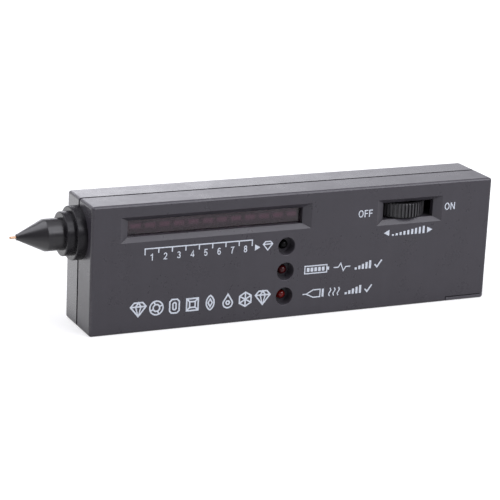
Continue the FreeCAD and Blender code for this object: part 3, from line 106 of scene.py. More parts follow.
# Moulded plastic: the sizes of its patterns, and how far they change its finish
CLOUD_SIZE = 9 * MM
SPECKLE_SIZE = 1.1 * MM
STREAK_SIZE = 3 * MM
STREAK_SQUEEZE = (1, 1, 0.06)
STREAK_SHARE = 0.4
MOTTLE = 0.06
GLOSS_SWING = 0.03
EDGE_REACH = 1.1 * MM
EDGE_POLISH = 0.10
EDGE_FADE = 1.5
EDGE_FADE_SHARE = 0.5
GRAIN = 0.45 * MM
GRAIN_DEPTH = 0.002 * MM
FINE_GRAIN = 0.3 * MM
FINE_GRAIN_DEPTH = 0.001 * MM

# Ramps of a level
RISE = (0.0, 1.0)
FALL = (1.0, 0.0)

# Print on the display face, in mm from the nose end and from the base
INK_THICKNESS = 0.02
INK_ROOT = 0.01
JOIN_DISTANCE = 0.001
CLOSED_DISTANCE = 0.01
MITRE_LIMIT = 0.5
FINE_STROKE = 0.36
TICK_STROKE = 0.48
SCALE_START = 16.98
SCALE_PITCH = 4.37
SCALE_COUNT = 8
SCALE_LINE_Z = 26.1
SCALE_END_TICK = 1.9
SCALE_TICK = 1.55
SCALE_STROKE = 0.36
SCALE_ARROW_X = (52.9, 54.7)
SCALE_ARROW_Z = 23.6
ARROW_HEIGHT = 2.0
DIGIT_BOTTOM = 22.35
DIGIT_HEIGHT = 2.2
GEM_CORNER = (55.9, 22.5)
GEM_HEIGHT = 2.7
OFF_CORNER = (87.9, 30.4)
ON_CORNER = (118.6, 30.65)
SWITCH_TEXT_HEIGHT = 2.35
LEFT_ARROW_X = (99.2, 97.3)
RIGHT_ARROW_X = (112.8, 114.7)
SWITCH_ARROW_Z = 24.65
SWITCH_LEVEL_CORNER = (100.2, 23.6)
STONES_CORNER = (13.2, 5.2)
STONE_PITCH = 5.85
STONE_HEIGHT = 4.3
STONE_STROKE = 0.47

# Marks beside the lamps: their rows' corners, and places in mm from a row's corner
BATTERY_ROW = (70.3, 13.7)
TIP_ROW = (70.0, 5.85)
ROW_HEIGHT = 2.4
ROW_OVERHANG = 0.1
BATTERY_LENGTH = 7.6
TERMINAL_X = (7.7, 8.4)
TERMINAL_INSET = 0.7
CELL_COUNT = 5
CELL_START = 0.7
CELL_PITCH = 1.3
CELL_WIDTH = 0.9
CELL_INSET = 0.55
PULSE_X = (10.0, 11.6, 12.4, 13.4, 14.2, 15.8)
BATTERY_LEVEL_X = 17.4
PIN_END_X = 1.6
CONE_X = (1.2, 3.6, 6.0)
COLLAR_X = (6.6, 7.3)
AIR_COUNT = 3
AIR_START = 9.4
AIR_PITCH = 1.5
AIR_SWING = 0.32
TIP_LEVEL_X = 14.7
TICK_AFTER_LEVEL = 7.0


def linked(name, data):
    """A new object in the scene."""
    made = bpy.data.objects.new(name, data)
    bpy.context.scene.collection.objects.link(made)
    return made


def scaled(colour, factor):
    """A colour made lighter or darker."""
    return tuple(c * factor for c in colour)


def emptied_tree(owner):
    """The node tree of a material or a world, without its first nodes."""
    owner.use_nodes = True
    owner.node_tree.nodes.clear()
    return owner.node_tree


def node(tree, kind, settings=None, **inputs):
    """Adds a shader node. An input is given the socket that feeds it or a
    value, which is (r, g, b) for a colour. It goes by its name, with _ for a
    blank, or by i and its number."""
    made = tree.nodes.new("ShaderNode" + kind)
    for key, value in (settings or {}).items():
        setattr(made, key, value)
    for key, value in inputs.items():
        numbered = key[0] == "i" and key[1:].isdigit()
        socket = made.inputs[int(key[1:]) if numbered else key.replace("_", " ")]
        if isinstance(value, bpy.types.NodeSocket):
            tree.links.new(value, socket)
        elif socket.type == "RGBA":
            socket.default_value = (*value, 1)
        else:
            socket.default_value = value
    return made


def maths(tree, operation, first, *others):
    """Values or sockets put together by one operation, from left to right."""
    for other in others:
        first = node(tree, "Math", {"operation": operation}, i0=first, i1=other).outputs[0]
    return first


def mixed(tree, factor, first, second):
    """A colour between two, each of them a socket or (r, g, b)."""
    return node(tree, "Mix", {"data_type": "RGBA"}, i0=factor, i6=first, i7=second).outputs[2]


def spread(tree, value, old, new=RISE):
    """A value's range carried over to another, and held inside it."""
    return node(tree, "MapRange", {"clamp": True}, Value=value, From_Min=old[0],
                From_Max=old[1], To_Min=new[0], To_Max=new[1]).outputs[0]


def own_place(tree):
    """The point in the piece's own frame, in metres."""
    return node(tree, "TexCoord").outputs["Object"]


def axes_of(tree, vector):
    """A vector's x, y and z."""
    return node(tree, "SeparateXYZ", Vector=vector).outputs


def noise(tree, size, detail=2.0, squeeze=(1, 1, 1)):
    """Noise whose features are about size metres across, or longer along an
    axis that squeeze shortens."""
    place = node(tree, "Mapping", Vector=own_place(tree), Scale=squeeze).outputs[0]
    return node(tree, "TexNoise", Vector=place, Scale=1 / size, Detail=detail,
                Roughness=NOISE_ROUGHNESS).outputs["Fac"]


def bumped(tree, height, depth, strength=1.0):
    """A normal from a height field."""
    return node(tree, "Bump", Height=height, Distance=depth, Strength=strength).outputs[0]


def new_material(name):
    """A material and its empty tree."""
    material = bpy.data.materials.new(name)
    return material, emptied_tree(material)


def shade(tree, **inputs):
    """Ends a tree with a principled shader and the output."""
    shader = node(tree, "BsdfPrincipled", **inputs)
    node(tree, "OutputMaterial", Surface=shader.outputs[0])


def edge_closeness(tree, low, high, reach):
    """1 at the edges of a block and 0 further than reach from them: an edge
    is where the second least distance to the block's sides is small."""
    gaps = []
    for axis, near, far in zip(axes_of(tree, own_place(tree)), low, high):
        gaps.append(maths(tree, "MINIMUM", maths(tree, "SUBTRACT", axis, near),
                          maths(tree, "SUBTRACT", far, axis)))
    least = maths(tree, "MINIMUM", *gaps)
    most = maths(tree, "MAXIMUM", *gaps)
    second = maths(tree, "SUBTRACT", maths(tree, "ADD", *gaps), least, most)
    return spread(tree, second, (0.0, reach), FALL)


def moulded_plastic(name, colour, roughness, grain=GRAIN, grain_depth=GRAIN_DEPTH,
                    specular=0.5, worn_box=None):
    """Moulded plastic: a fine grain, a faint cloudy mottle and upright flow
    streaks in its colour, an uneven gloss and, at the edges of a box that is
    given, the polish of handling."""
    material, tree = new_material(name)
    cloud = noise(tree, CLOUD_SIZE, 3.0)
    speckle = noise(tree, SPECKLE_SIZE)
    streaks = noise(tree, STREAK_SIZE, 2.0, STREAK_SQUEEZE)
    tone = maths(tree, "ADD", maths(tree, "MULTIPLY", cloud, 1 - STREAK_SHARE),
                 maths(tree, "MULTIPLY", streaks, STREAK_SHARE))
    base = mixed(tree, spread(tree, tone, (0.35, 0.65)),
                 scaled(colour, 1 - MOTTLE), scaled(colour, 1 + MOTTLE))
    rough = maths(tree, "ADD", spread(tree, cloud, (0.3, 0.7), (-GLOSS_SWING, GLOSS_SWING)),
                  spread(tree, speckle, (0.2, 0.8),
                         (roughness - GLOSS_SWING, roughness + GLOSS_SWING)))
    if worn_box is not None:
        worn = maths(tree, "MULTIPLY", edge_closeness(tree, *worn_box, EDGE_REACH),
                     spread(tree, speckle, (0.35, 0.7), (0.2, 1.0)))
        rough = maths(tree, "SUBTRACT", rough, maths(tree, "MULTIPLY", worn, EDGE_POLISH))
        base = mixed(tree, maths(tree, "MULTIPLY", worn, EDGE_FADE_SHARE), base,
                     scaled(colour, EDGE_FADE))
    shade(tree, Base_Color=base, Roughness=rough, Specular_IOR_Level=specular,
          Normal=bumped(tree, noise(tree, grain), grain_depth))
    return material


def clear_plastic(name, colour, roughness, transmission, ior):
    """Tinted clear plastic with a faint ripple."""
    material, tree = new_material(name)
    ripple = noise(tree, 6 * MM, 1.0)
    shade(tree, Base_Color=mixed(tree, ripple, scaled(colour, 0.9), colour),
          Roughness=spread(tree, noise(tree, 2 * MM), (0.3, 0.7),
                           (roughness * 0.8, roughness * 1.2)),
          Transmission_Weight=transmission, IOR=ior,
          Normal=bumped(tree, ripple, 0.01 * MM, 0.2))
    return material


def bars_with_painted_glow(name, colour, glow):
    """Diffusing resin with a painted glow, brightest along its middle, that stands in for the
    light reaching the bars through the panel.
    """
    material, tree = new_material(name)
    low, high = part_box("light_bars")
    middle = (low.z + high.z) / 2
    painted_glow_at_edge = 0.45
    z = axes_of(tree, own_place(tree))[2]
    painted_glow_share = maths(tree, "MINIMUM", spread(tree, z, (low.z, middle), (painted_glow_at_edge, 1.0)),
                  spread(tree, z, (middle, high.z), (1.0, painted_glow_at_edge)))
    base = mixed(tree, noise(tree, 1.5 * MM), scaled(colour, 0.85), colour)
    # Painted glow: the emission stands in for light reaching the bars through the smoked panel,
    # strongest along their middle
    shade(tree, Base_Color=base, Roughness=0.45, Emission_Color=base,
          Emission_Strength=maths(tree, "MULTIPLY", painted_glow_share, glow))
    return material


def metal(name, colour, roughness, squeeze=(1, 1, 1), tarnish=0.15):
    """Metal with fine drawing or turning marks and a slight tarnish."""
    material, tree = new_material(name)
    marks = noise(tree, 0.25 * MM, 3.0, squeeze)
    stain = spread(tree, noise(tree, 1.2 * MM, 3.0), (0.35, 0.75))
    shade(tree, Base_Color=mixed(tree, stain, colour, scaled(colour, 1 - 2 * tarnish)),
          Metallic=1.0,
          Roughness=spread(tree, marks, (0.2, 0.8), (roughness * 0.7, roughness * 1.3)),
          Normal=bumped(tree, marks, 0.004 * MM, 0.5))
    return material


def circuit_board(name):
    """Green resist over a faint run of copper tracks."""
    material, tree = new_material(name)
    turned = node(tree, "Mapping", Vector=own_place(tree), Rotation=(math.pi / 2, 0, 0)).outputs[0]
    tracks = node(tree, "TexBrick", {"offset": 0.37, "squash": 1.6}, Vector=turned,
                  Scale=1.0, Mortar_Size=0.35 * MM, Mortar_Smooth=0.2, Bias=0.0,
                  Brick_Width=9.4 * MM, Row_Height=1.9 * MM).outputs["Fac"]
    green = mixed(tree, noise(tree, 0.8 * MM), (0.010, 0.075, 0.030), (0.014, 0.105, 0.040))
    shade(tree, Base_Color=mixed(tree, tracks, green, (0.045, 0.20, 0.075)),
          Roughness=0.32, Normal=bumped(tree, tracks, 0.03 * MM, 0.6))
    return material


def banded_resistor(name):
    """Tan lacquer with four colour bands across it."""
    material, tree = new_material(name)
    low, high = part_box("resistors")
    z = axes_of(tree, own_place(tree))[2]
    ramp = node(tree, "ValToRGB", Fac=spread(tree, z, (low.z, high.z)))
    ramp.color_ramp.interpolation = "CONSTANT"
    tan = (0.52, 0.34, 0.17)
    bands = ((0.18, (0.16, 0.05, 0.02)), (0.36, (0.01, 0.01, 0.01)),
             (0.54, (0.45, 0.03, 0.02)), (0.76, (0.55, 0.36, 0.08)))
    band_width = 0.09
    stops = [(0.0, tan)]
    for start, colour in bands:
        stops += [(start, colour), (start + band_width, tan)]
    while len(ramp.color_ramp.elements) < len(stops):
        ramp.color_ramp.elements.new(1.0)
    for element, (position, colour) in zip(ramp.color_ramp.elements, stops):
        element.position = position
        element.color = (*colour, 1)
    shade(tree, Base_Color=ramp.outputs["Color"], Roughness=0.35,
          Normal=bumped(tree, noise(tree, 0.6 * MM), 0.01 * MM))
    return material


def printed_steel(name):
    """The battery's jacket: grey enamel, a lighter band at its terminal end
    and a rolled seam's slight waviness."""
    material, tree = new_material(name)
    low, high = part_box("battery_jacket")
    band_share = 0.27
    band_end = low.x + (high.x - low.x) * band_share
    blur = 0.05 * MM
    x = axes_of(tree, own_place(tree))[0]
    band = spread(tree, x, (band_end - blur, band_end + blur), FALL)
    enamel = mixed(tree, noise(tree, 5 * MM), (0.055, 0.065, 0.085), (0.07, 0.08, 0.10))
    shade(tree, Base_Color=mixed(tree, band, enamel, (0.42, 0.43, 0.44)),
          Metallic=0.3, Roughness=0.35, Normal=bumped(tree, noise(tree, 7 * MM), 0.05 * MM))
    return material


def ink(name):
    """Screen-printed ink: pale, a little uneven in its cover."""
    material, tree = new_material(name)
    cover = noise(tree, 0.35 * MM, 3.0)
    shade(tree, Base_Color=mixed(tree, spread(tree, cover, (0.3, 0.6)),
                                 (0.51, 0.55, 0.60), (0.63, 0.67, 0.725)),
          Roughness=0.55, Normal=bumped(tree, cover, 0.004 * MM))
    return material


def foam(name):
    """Open-cell foam, its pits painted darker where the bump sinks, as painted shade."""
    material, tree = new_material(name)
    cells = node(tree, "TexVoronoi", Vector=own_place(tree), Scale=1 / (0.7 * MM))
    depth = cells.outputs["Distance"]
    # Painted shade: the colour darkens towards each cell's middle, where the bump is lowest
    shade(tree, Base_Color=mixed(tree, depth, (0.03, 0.03, 0.033), (0.09, 0.09, 0.095)),
          Roughness=0.95, Normal=bumped(tree, depth, 0.3 * MM))
    return material


def dress(material, *names):
    """Gives CAD nodes a finish."""
    for name in names:
        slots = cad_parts[name].data.materials
        slots.clear()
        slots.append(material)


def dress_case():
    """The two shells and the battery door, worn at the case's edges."""
    case = (CASE_LOW, CASE_HIGH)
    dress(moulded_plastic("case_satin", CASE_BLACK, 0.30, specular=0.36, worn_box=case),
          "front_shell")
    # The rear shell reflects more strongly than the front: a painted sheen that stands in for the
    # brighter reflection its draft would catch
    dress(moulded_plastic("case_satin_rear_painted_sheen", CASE_BLACK, 0.28, grain_depth=FINE_GRAIN_DEPTH,
                          specular=0.83, worn_box=case), "rear_shell")
    dress(moulded_plastic("door_satin", scaled(CASE_BLACK, 1.4), 0.36, worn_box=case),
          "battery_door")


def dress_other_plastics():
    """The nose, the wheel, and the plastic pieces inside."""
    dress(moulded_plastic("nose_black", (0.0085, 0.0072, 0.0088), 0.30, FINE_GRAIN,
                          FINE_GRAIN_DEPTH), "probe_cone")
    dress(moulded_plastic("collar_black", (0.0112, 0.0102, 0.0122), 0.27, FINE_GRAIN,
                          FINE_GRAIN_DEPTH, specular=0.22),
          "probe_collar", "probe_nut", "probe_seat")
    dress(moulded_plastic("wheel_black", (0.030, 0.029, 0.031), 0.38), "thumbwheel")
    dress(moulded_plastic("black_resin", (0.020, 0.020, 0.021), 0.55, grain=0.1 * MM),
          "driver_chip", "amplifier_chip", "sounder", "level_control", "battery_snap")
    dress(moulded_plastic("trimmer_blue", (0.015, 0.05, 0.22), 0.35), "trimmer")
    dress(moulded_plastic("socket_nylon", (0.58, 0.57, 0.51), 0.42), "probe_socket")
    dress(moulded_plastic("capacitor_sleeve", (0.012, 0.016, 0.06), 0.28), "capacitors")
    dress(moulded_plastic("bar_housing_dark", (0.006, 0.005, 0.005), 0.6), "bar_housing")
    dress(moulded_plastic("red_insulation", (0.40, 0.012, 0.012), 0.33), "snap_lead_red")
    dress(moulded_plastic("black_insulation", (0.012, 0.012, 0.012), 0.33), "snap_lead_black")
    dress(moulded_plastic("white_insulation", (0.60, 0.59, 0.56), 0.38), "probe_leads")
    dress(foam("pad_foam"), "battery_pad")


def dress_lights():
    """The display window, the bars behind it and the three lamps."""
    dress(clear_plastic("smoked_red_panel", (0.30, 0.17, 0.25), 0.08, 0.965, 1.48),
          "display_window")
    # The bars get a painted glow that stands in for light through the panel
    dress(bars_with_painted_glow("bar_resin_painted_glow", (0.056, 0.042, 0.045), 3.1), "light_bars")
    dress(clear_plastic("dark_lens", (0.004, 0.004, 0.004), 0.12, 0.2, 1.2), "lamp_upper")
    dress(clear_plastic("dim_red_lens", (0.060, 0.003, 0.004), 0.10, 0.2, 1.37), "lamp_middle")
    dress(clear_plastic("bright_red_lens", (0.165, 0.005, 0.004), 0.10, 0.2, 1.39), "lamp_lower")


def dress_metals():
    """The tip and its carrier, screws, pins, terminals, and the printed steel
    of the battery."""
    dress(metal("tinned_wire", (0.62, 0.62, 0.60), 0.30),
          "lamp_legs", "chip_pins", "component_legs", "level_control_pins")
    dress(metal("zinc_steel", (0.42, 0.42, 0.43), 0.34),
          "case_screws", "board_screws", "wheel_screw")
    dress(metal("spring_wire", (0.50, 0.50, 0.50), 0.25), "probe_spring")
    dress(metal("drawn_aluminium", (0.62, 0.62, 0.63), 0.28, (1, 1, 0.1)),
          "wheel_spindle", "battery_cells")
    dress(metal("turned_brass", (0.60, 0.42, 0.16), 0.25), "probe_carrier")
    dress(metal("copper_tip", (0.52, 0.33, 0.21), 0.34, (0.15, 1, 1), 0.08), "probe_pin")
    dress(metal("nickel_terminal", (0.66, 0.65, 0.62), 0.22), "battery_terminals")
    dress(printed_steel("battery_enamel"), "battery_jacket")


def dress_nodes():
    """Gives every CAD node its finish."""
    dress_case()
    dress_other_plastics()
    dress_lights()
    dress_metals()
    dress(circuit_board("board_green"), "main_board")
    dress(banded_resistor("resistor_lacquer"), "resistors")


def bow(centre, radii, start, end, steps=14):
    """Points along an ellipse, its angles in degrees."""
    angles = [math.radians(start + (end - start) * i / steps) for i in range(steps + 1)]
    return [(centre[0] + radii[0] * math.cos(a), centre[1] + radii[1] * math.sin(a))
            for a in angles]


def polygon(sides, radius, turn=0.0, centre=(0.5, 0.5)):
    """A closed regular polygon's corners."""
    return bow(centre, (radius, radius), turn, turn + 360, sides)


def wave(start, end, swing, turns, steps=18):
    """Points along a wave that swings across the way from start to end."""
    way = Vector(end) - Vector(start)
    across = Vector((-way.y, way.x)).normalized() * swing
    return [tuple(Vector(start) + way * (i / steps)
                  + across * math.sin(2 * math.pi * turns * i / steps))
            for i in range(steps + 1)]


def holds(shape, point):
    """Whether an outline goes round a point."""
    inside = False
    for a, b in zip(shape, shape[1:] + shape[:1]):
        if (a.y > point.y) != (b.y > point.y):
            crossing = a.x + (b.x - a.x) * (point.y - a.y) / (b.y - a.y)
            inside = inside != (point.x < crossing)
    return inside


# Letters on a unit height: width, and the middle lines of their strokes
GLYPH_STROKE = 0.135
GLYPH_GAP = 0.13
GLYPHS = {
    "O": (0.76, [bow((0.38, 0.5), (0.305, 0.425), 0, 360, 28)]),
    "F": (0.54, [[(0.08, 0.0), (0.08, 0.92), (0.54, 0.92)], [(0.08, 0.49), (0.49, 0.49)]]),
    "N": (0.70, [[(0.08, 0.0), (0.08, 1.0)], [(0.62, 0.0), (0.62, 1.0)],
                 [(0.08, 0.93), (0.62, 0.07)]]),
    "1": (0.36, [[(0.27, 0.0), (0.27, 1.0)], [(0.0, 0.73), (0.27, 0.82)]]),
    "2": (0.54, [bow((0.27, 0.655), (0.19, 0.27), 170, -38) + [(0.08, 0.08), (0.54, 0.08)]]),
    "3": (0.54, [bow((0.255, 0.715), (0.18, 0.21), 165, -90),
                 bow((0.255, 0.29), (0.205, 0.215), 90, -165)]),
    "4": (0.58, [[(0.42, 0.0), (0.42, 0.93), (0.07, 0.26), (0.58, 0.26)]]),
    "5": (0.54, [[(0.50, 0.92), (0.15, 0.92), (0.10, 0.48)]
                 + bow((0.265, 0.325), (0.195, 0.25), 135, -155)]),
    "6": (0.54, [bow((0.27, 0.32), (0.19, 0.245), 0, 360, 24),
                 bow((0.29, 0.50), (0.21, 0.425), 45, 190)]),
    "7": (0.52, [[(0.02, 0.92), (0.46, 0.92), (0.33, 0.68), (0.24, 0.40), (0.20, 0.0)]]),
    "8": (0.54, [bow((0.27, 0.72), (0.165, 0.205), 0, 360, 20),
                 bow((0.27, 0.29), (0.195, 0.215), 0, 360, 20)]),
}


def width_of(text, height):
    """How long a word is."""
    widths = [GLYPHS[letter][0] for letter in text]
    return (sum(widths) + GLYPH_GAP * (len(text) - 1)) * height


class Print:
    """Flat shapes of ink. Points are (along, up) in mm, from the nose end and
    from the base."""

    def __init__(self):
        self.shapes = []

    def area(self, points):
        """A filled outline."""
        self.shapes.append([Vector(p) for p in points])

    def block(self, left, right, bottom, top):
        """A filled rectangle."""
        self.area([(left, bottom), (right, bottom), (right, top), (left, top)])

    def arrow(self, base, tip, middle):
        """A filled arrow head from its base to its tip."""
        half = math.copysign(ARROW_HEIGHT / 2, base - tip)
        self.area([(tip, middle), (base, middle - half), (base, middle + half)])

    def line(self, points, width):
        """A stroke of even width with mitred corners, closed where its last
        point is its first."""
        flat = [Vector(p) for p in points]
        closed = (flat[0] - flat[-1]).length < CLOSED_DISTANCE
        if closed:
            flat.pop()
        count = len(flat)
        left = []
        right = []
        for i, point in enumerate(flat):
            back = flat[i] - flat[i - 1] if closed or i > 0 else flat[1] - flat[0]
            ahead = flat[(i + 1) % count] - point if closed or i < count - 1 else back
            back = back.normalized()
            ahead = ahead.normalized()
            across = Vector((-back.y - ahead.y, back.x + ahead.x)).normalized()
            reach = width / 2 / max(MITRE_LIMIT, across.dot(Vector((-back.y, back.x))))
            left.append(point + across * reach)
            right.append(point - across * reach)
        for i in range(count if closed else count - 1):
            j = (i + 1) % count
            self.shapes.append([right[i], right[j], left[j], left[i]])

    def lines(self, strokes, width, corner, size):
        """Strokes drawn on a unit height, set at a corner and scaled."""
        for points in strokes:
            self.line([(corner[0] + x * size, corner[1] + y * size) for x, y in points], width)

    def words(self, text, corner, height):
        """Plain sans lettering from its lower left corner."""
        x = corner[0]
        for letter in text:
            advance, strokes = GLYPHS[letter]
            self.lines(strokes, GLYPH_STROKE * height, (x, corner[1]), height)
            x += (advance + GLYPH_GAP) * height

    def rising_bars(self, corner, count, pitch, width, low, high):
        """Bars that grow to the right."""
        for i in range(count):
            left = corner[0] + i * pitch
            height = low + (high - low) * i / (count - 1)
            self.block(left, left + width, corner[1], corner[1] + height)


def draw_scale(sheet):
    """The ruled scale with its numbers, the arrow past its end and a stone."""
    end = SCALE_START + SCALE_PITCH * SCALE_COUNT
    half = SCALE_STROKE / 2
    sheet.line([(SCALE_START - half, SCALE_LINE_Z), (end + half, SCALE_LINE_Z)], SCALE_STROKE)
    for i in range(SCALE_COUNT + 1):
        x = SCALE_START + i * SCALE_PITCH
        length = SCALE_END_TICK if i in (0, SCALE_COUNT) else SCALE_TICK
        sheet.line([(x, SCALE_LINE_Z), (x, SCALE_LINE_Z - length)], SCALE_STROKE)
    for i in range(SCALE_COUNT):
        digit = str(i + 1)
        middle = SCALE_START + (i + 0.5) * SCALE_PITCH
        sheet.words(digit, (middle - width_of(digit, DIGIT_HEIGHT) / 2, DIGIT_BOTTOM),
                    DIGIT_HEIGHT)
    sheet.arrow(*SCALE_ARROW_X, SCALE_ARROW_Z)
    sheet.lines(gem_side()[:2], FINE_STROKE, GEM_CORNER, GEM_HEIGHT)


def draw_switch(sheet):
    """OFF and ON, two arrows and a rising level between them."""
    sheet.words("OFF", OFF_CORNER, SWITCH_TEXT_HEIGHT)
    sheet.words("ON", ON_CORNER, SWITCH_TEXT_HEIGHT)
    sheet.arrow(*LEFT_ARROW_X, SWITCH_ARROW_Z)
    sheet.arrow(*RIGHT_ARROW_X, SWITCH_ARROW_Z)
    sheet.rising_bars(SWITCH_LEVEL_CORNER, count=9, pitch=1.37, width=0.72, low=0.5, high=2.4)


def draw_level_and_tick(sheet, x, z):
    """Five rising bars and a tick after them."""
    sheet.rising_bars((x, z - ROW_OVERHANG), count=5, pitch=1.25, width=0.75, low=0.7,
                      high=ROW_HEIGHT + 2 * ROW_OVERHANG)
    sheet.lines([[(0.0, 0.45), (0.36, 0.08), (1.02, 0.98)]], TICK_STROKE,
                (x + TICK_AFTER_LEVEL, z), ROW_HEIGHT)


def draw_charged_battery(sheet):
    """A battery's outline, terminal and cells, and the pulse that it feeds."""
    x, z = BATTERY_ROW
    end, top, middle = x + BATTERY_LENGTH, z + ROW_HEIGHT, z + ROW_HEIGHT / 2
    sheet.line([(x, z), (end, z), (end, top), (x, top), (x, z)], FINE_STROKE)
    sheet.block(x + TERMINAL_X[0], x + TERMINAL_X[1], z + TERMINAL_INSET, top - TERMINAL_INSET)
    for i in range(CELL_COUNT):
        left = x + CELL_START + i * CELL_PITCH
        sheet.block(left, left + CELL_WIDTH, z + CELL_INSET, top - CELL_INSET)
    pulse = zip(PULSE_X, (middle, middle, top, z, middle, middle))
    sheet.line([(x + along, up) for along, up in pulse], FINE_STROKE)
    draw_level_and_tick(sheet, x + BATTERY_LEVEL_X, z)


def draw_hot_tip(sheet):
    """A tip, its cone and collar, and the warm air off it."""
    x, z = TIP_ROW
    top, middle = z + ROW_HEIGHT, z + ROW_HEIGHT / 2
    low, high = z - ROW_OVERHANG, top + ROW_OVERHANG
    point, shoulder, end = (x + along for along in CONE_X)
    sheet.line([(point, middle), (shoulder, top), (end, top), (end, z), (shoulder, z),
                (point, middle)], FINE_STROKE)
    sheet.line([(x, middle), (x + PIN_END_X, middle)], FINE_STROKE)
    sheet.block(x + COLLAR_X[0], x + COLLAR_X[1], low, high)
    for i in range(AIR_COUNT):
        left = x + AIR_START + i * AIR_PITCH
        sheet.line(wave((left, low), (left, high), AIR_SWING, turns=1.0), FINE_STROKE)
    draw_level_and_tick(sheet, x + TIP_LEVEL_X, z)


def draw_lamp_marks(sheet):
    """A charged battery beside the middle lamp, and a hot tip beside the
    lower one."""
    draw_charged_battery(sheet)
    draw_hot_tip(sheet)


def ridges(inner, outer, count):
    """Strokes that join the corners of two outlines."""
    return [[inner[i], outer[i]] for i in range(count)]


def gem_side():
    """A cut stone from the side, on a unit height."""
    girdle = 0.70
    left, right = (-0.08, girdle), (1.08, girdle)
    return [[left, (0.18, 1.0), (0.82, 1.0), right, (0.5, 0.0), left],
            [left, right],
            [(0.30, girdle), (0.5, 1.0), (0.70, girdle), (0.5, 0.0), (0.30, girdle)]]


def gem_round():
    """A round stone from above: its table and four ridges."""
    table, turn = 0.26, 22.5
    return ([polygon(24, 0.5), polygon(8, table, turn)]
            + ridges(polygon(4, table, turn), polygon(4, 0.5, turn), 4))


def gem_step(half_width):
    """A step-cut stone with clipped corners, and its table."""
    table_inset, corner = 0.24, 0.16
    strokes = []
    for inset in (0.0, table_inset):
        w, h, clip = half_width - inset, 0.5 - inset, corner - inset / 3
        corners = [(w, h - clip), (w - clip, h), (clip - w, h), (-w, h - clip),
                   (-w, clip - h), (clip - w, -h), (w - clip, -h), (w, clip - h)]
        strokes.append([(0.5 + x, 0.5 + y) for x, y in corners + corners[:1]])
    return strokes


def gem_square():
    """A square stone: its table and the ridges to its corners."""
    outer, inner = polygon(4, 0.62, 45), polygon(4, 0.30, 45)
    return [outer, inner] + ridges(inner, outer, 4)


def gem_pointed():
    """A long stone with two pointed ends."""
    side = bow((0.17, 0.5), (0.63, 0.63), -58, 58)
    other = [(1 - x, 1 - y) for x, y in side]
    table = [(0.5, 0.22), (0.66, 0.5), (0.5, 0.78), (0.34, 0.5), (0.5, 0.22)]
    return [side + other[1:], table]


def gem_pear():
    """A drop-shaped stone."""
    drop = bow((0.5, 0.34), (0.36, 0.34), 155, 385, 20)
    return [drop + [(0.5, 1.0), drop[0]], polygon(6, 0.14, 0, (0.5, 0.38))]


def gem_six():
    """A six-sided stone with its ridges to the middle."""
    rim = polygon(6, 0.52, 90)
    return [rim] + ridges(rim, rim[3:], 3)


def draw_stones(sheet):
    """A row of cut stones seen from the side and from above."""
    stones = (gem_side(), gem_round(), gem_step(0.36), gem_square(), gem_pointed(),
              gem_pear(), gem_six(), gem_side())
    x, z = STONES_CORNER
    for i, strokes in enumerate(stones):
        sheet.lines(strokes, STONE_STROKE, (x + i * STONE_PITCH, z), STONE_HEIGHT)


def flat_mesh(name, shapes):
    """One flat mesh of all shapes on the display face, its overlaps joined."""
    points = [p for shape in shapes for p in shape]
    loops = []
    start = 0
    for shape in shapes:
        loops.append(list(range(start, start + len(shape))))
        start += len(shape)
    flat, _, faces, _, _, _ = delaunay_2d_cdt(points, [], loops, 0, JOIN_DISTANCE)
    kept = []
    for face in faces:
        middle = sum((flat[i] for i in face), Vector((0, 0))) / len(face)
        if any(holds(shape, middle) for shape in shapes):
            kept.append(face)
    data = bpy.data.meshes.new(name)
    data.from_pydata([(NOSE_END_X + p.x * MM, FACE_Y + INK_ROOT * MM, p.y * MM) for p in flat],
                     [], kept)
    return data


def lay_print(name, shapes, material):
    """Thickens shapes out of the display face into one piece of the case."""
    sheet = linked(name + "_flat", flat_mesh(name, shapes))
    thick = sheet.modifiers.new("thickness", "SOLIDIFY")
    thick.thickness = (INK_THICKNESS + INK_ROOT) * MM
    thick.offset = 1.0
    evaluated = sheet.evaluated_get(bpy.context.evaluated_depsgraph_get())
    solid = bpy.data.meshes.new_from_object(evaluated)
    bpy.data.objects.remove(sheet)
    solid.materials.clear()
    solid.materials.append(material)
    piece = linked(name, solid)
    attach(piece, "case")


def lay_prints():
    """Lays the four prints on the display face."""
    pale = ink("pale_ink")
    for name, draw in (("scale_print", draw_scale), ("switch_print", draw_switch),
                       ("lamp_print", draw_lamp_marks), ("stones_print", draw_stones)):
        sheet = Print()
        draw(sheet)
        lay_print(name, sheet.shapes, pale)


def make_camera():
    """The photograph's camera."""
    data = bpy.data.cameras.new("camera")
    data.lens = CAMERA_LENS
    data.sensor_width = CAMERA_SENSOR
    data.clip_start = CAMERA_NEAR
    camera = linked("camera", data)
    turn = (Matrix.Rotation(CAMERA_AZIMUTH, 4, "Z")
            @ Matrix.Rotation(math.pi / 2 - CAMERA_ELEVATION, 4, "X")
            @ Matrix.Rotation(CAMERA_ROLL, 4, "Z"))
    camera.matrix_world = Matrix.Translation(CAMERA_PLACE) @ turn
    bpy.context.scene.camera = camera


def make_softbox(name, place, size, radiance):
    """A soft rectangular lamp of an even radiance."""
    data = bpy.data.lights.new(name, "AREA")
    data.shape = "RECTANGLE"
    data.size, data.size_y = size
    data.color = LIGHT_TINT
    data.energy = radiance * math.pi * size[0] * size[1]
    lamp = linked(name, data)
    lamp.location = place
    way = Vector(SOFTBOX_AIM) - Vector(place)
    lamp.rotation_euler = way.to_track_quat("-Z", "Y").to_euler()


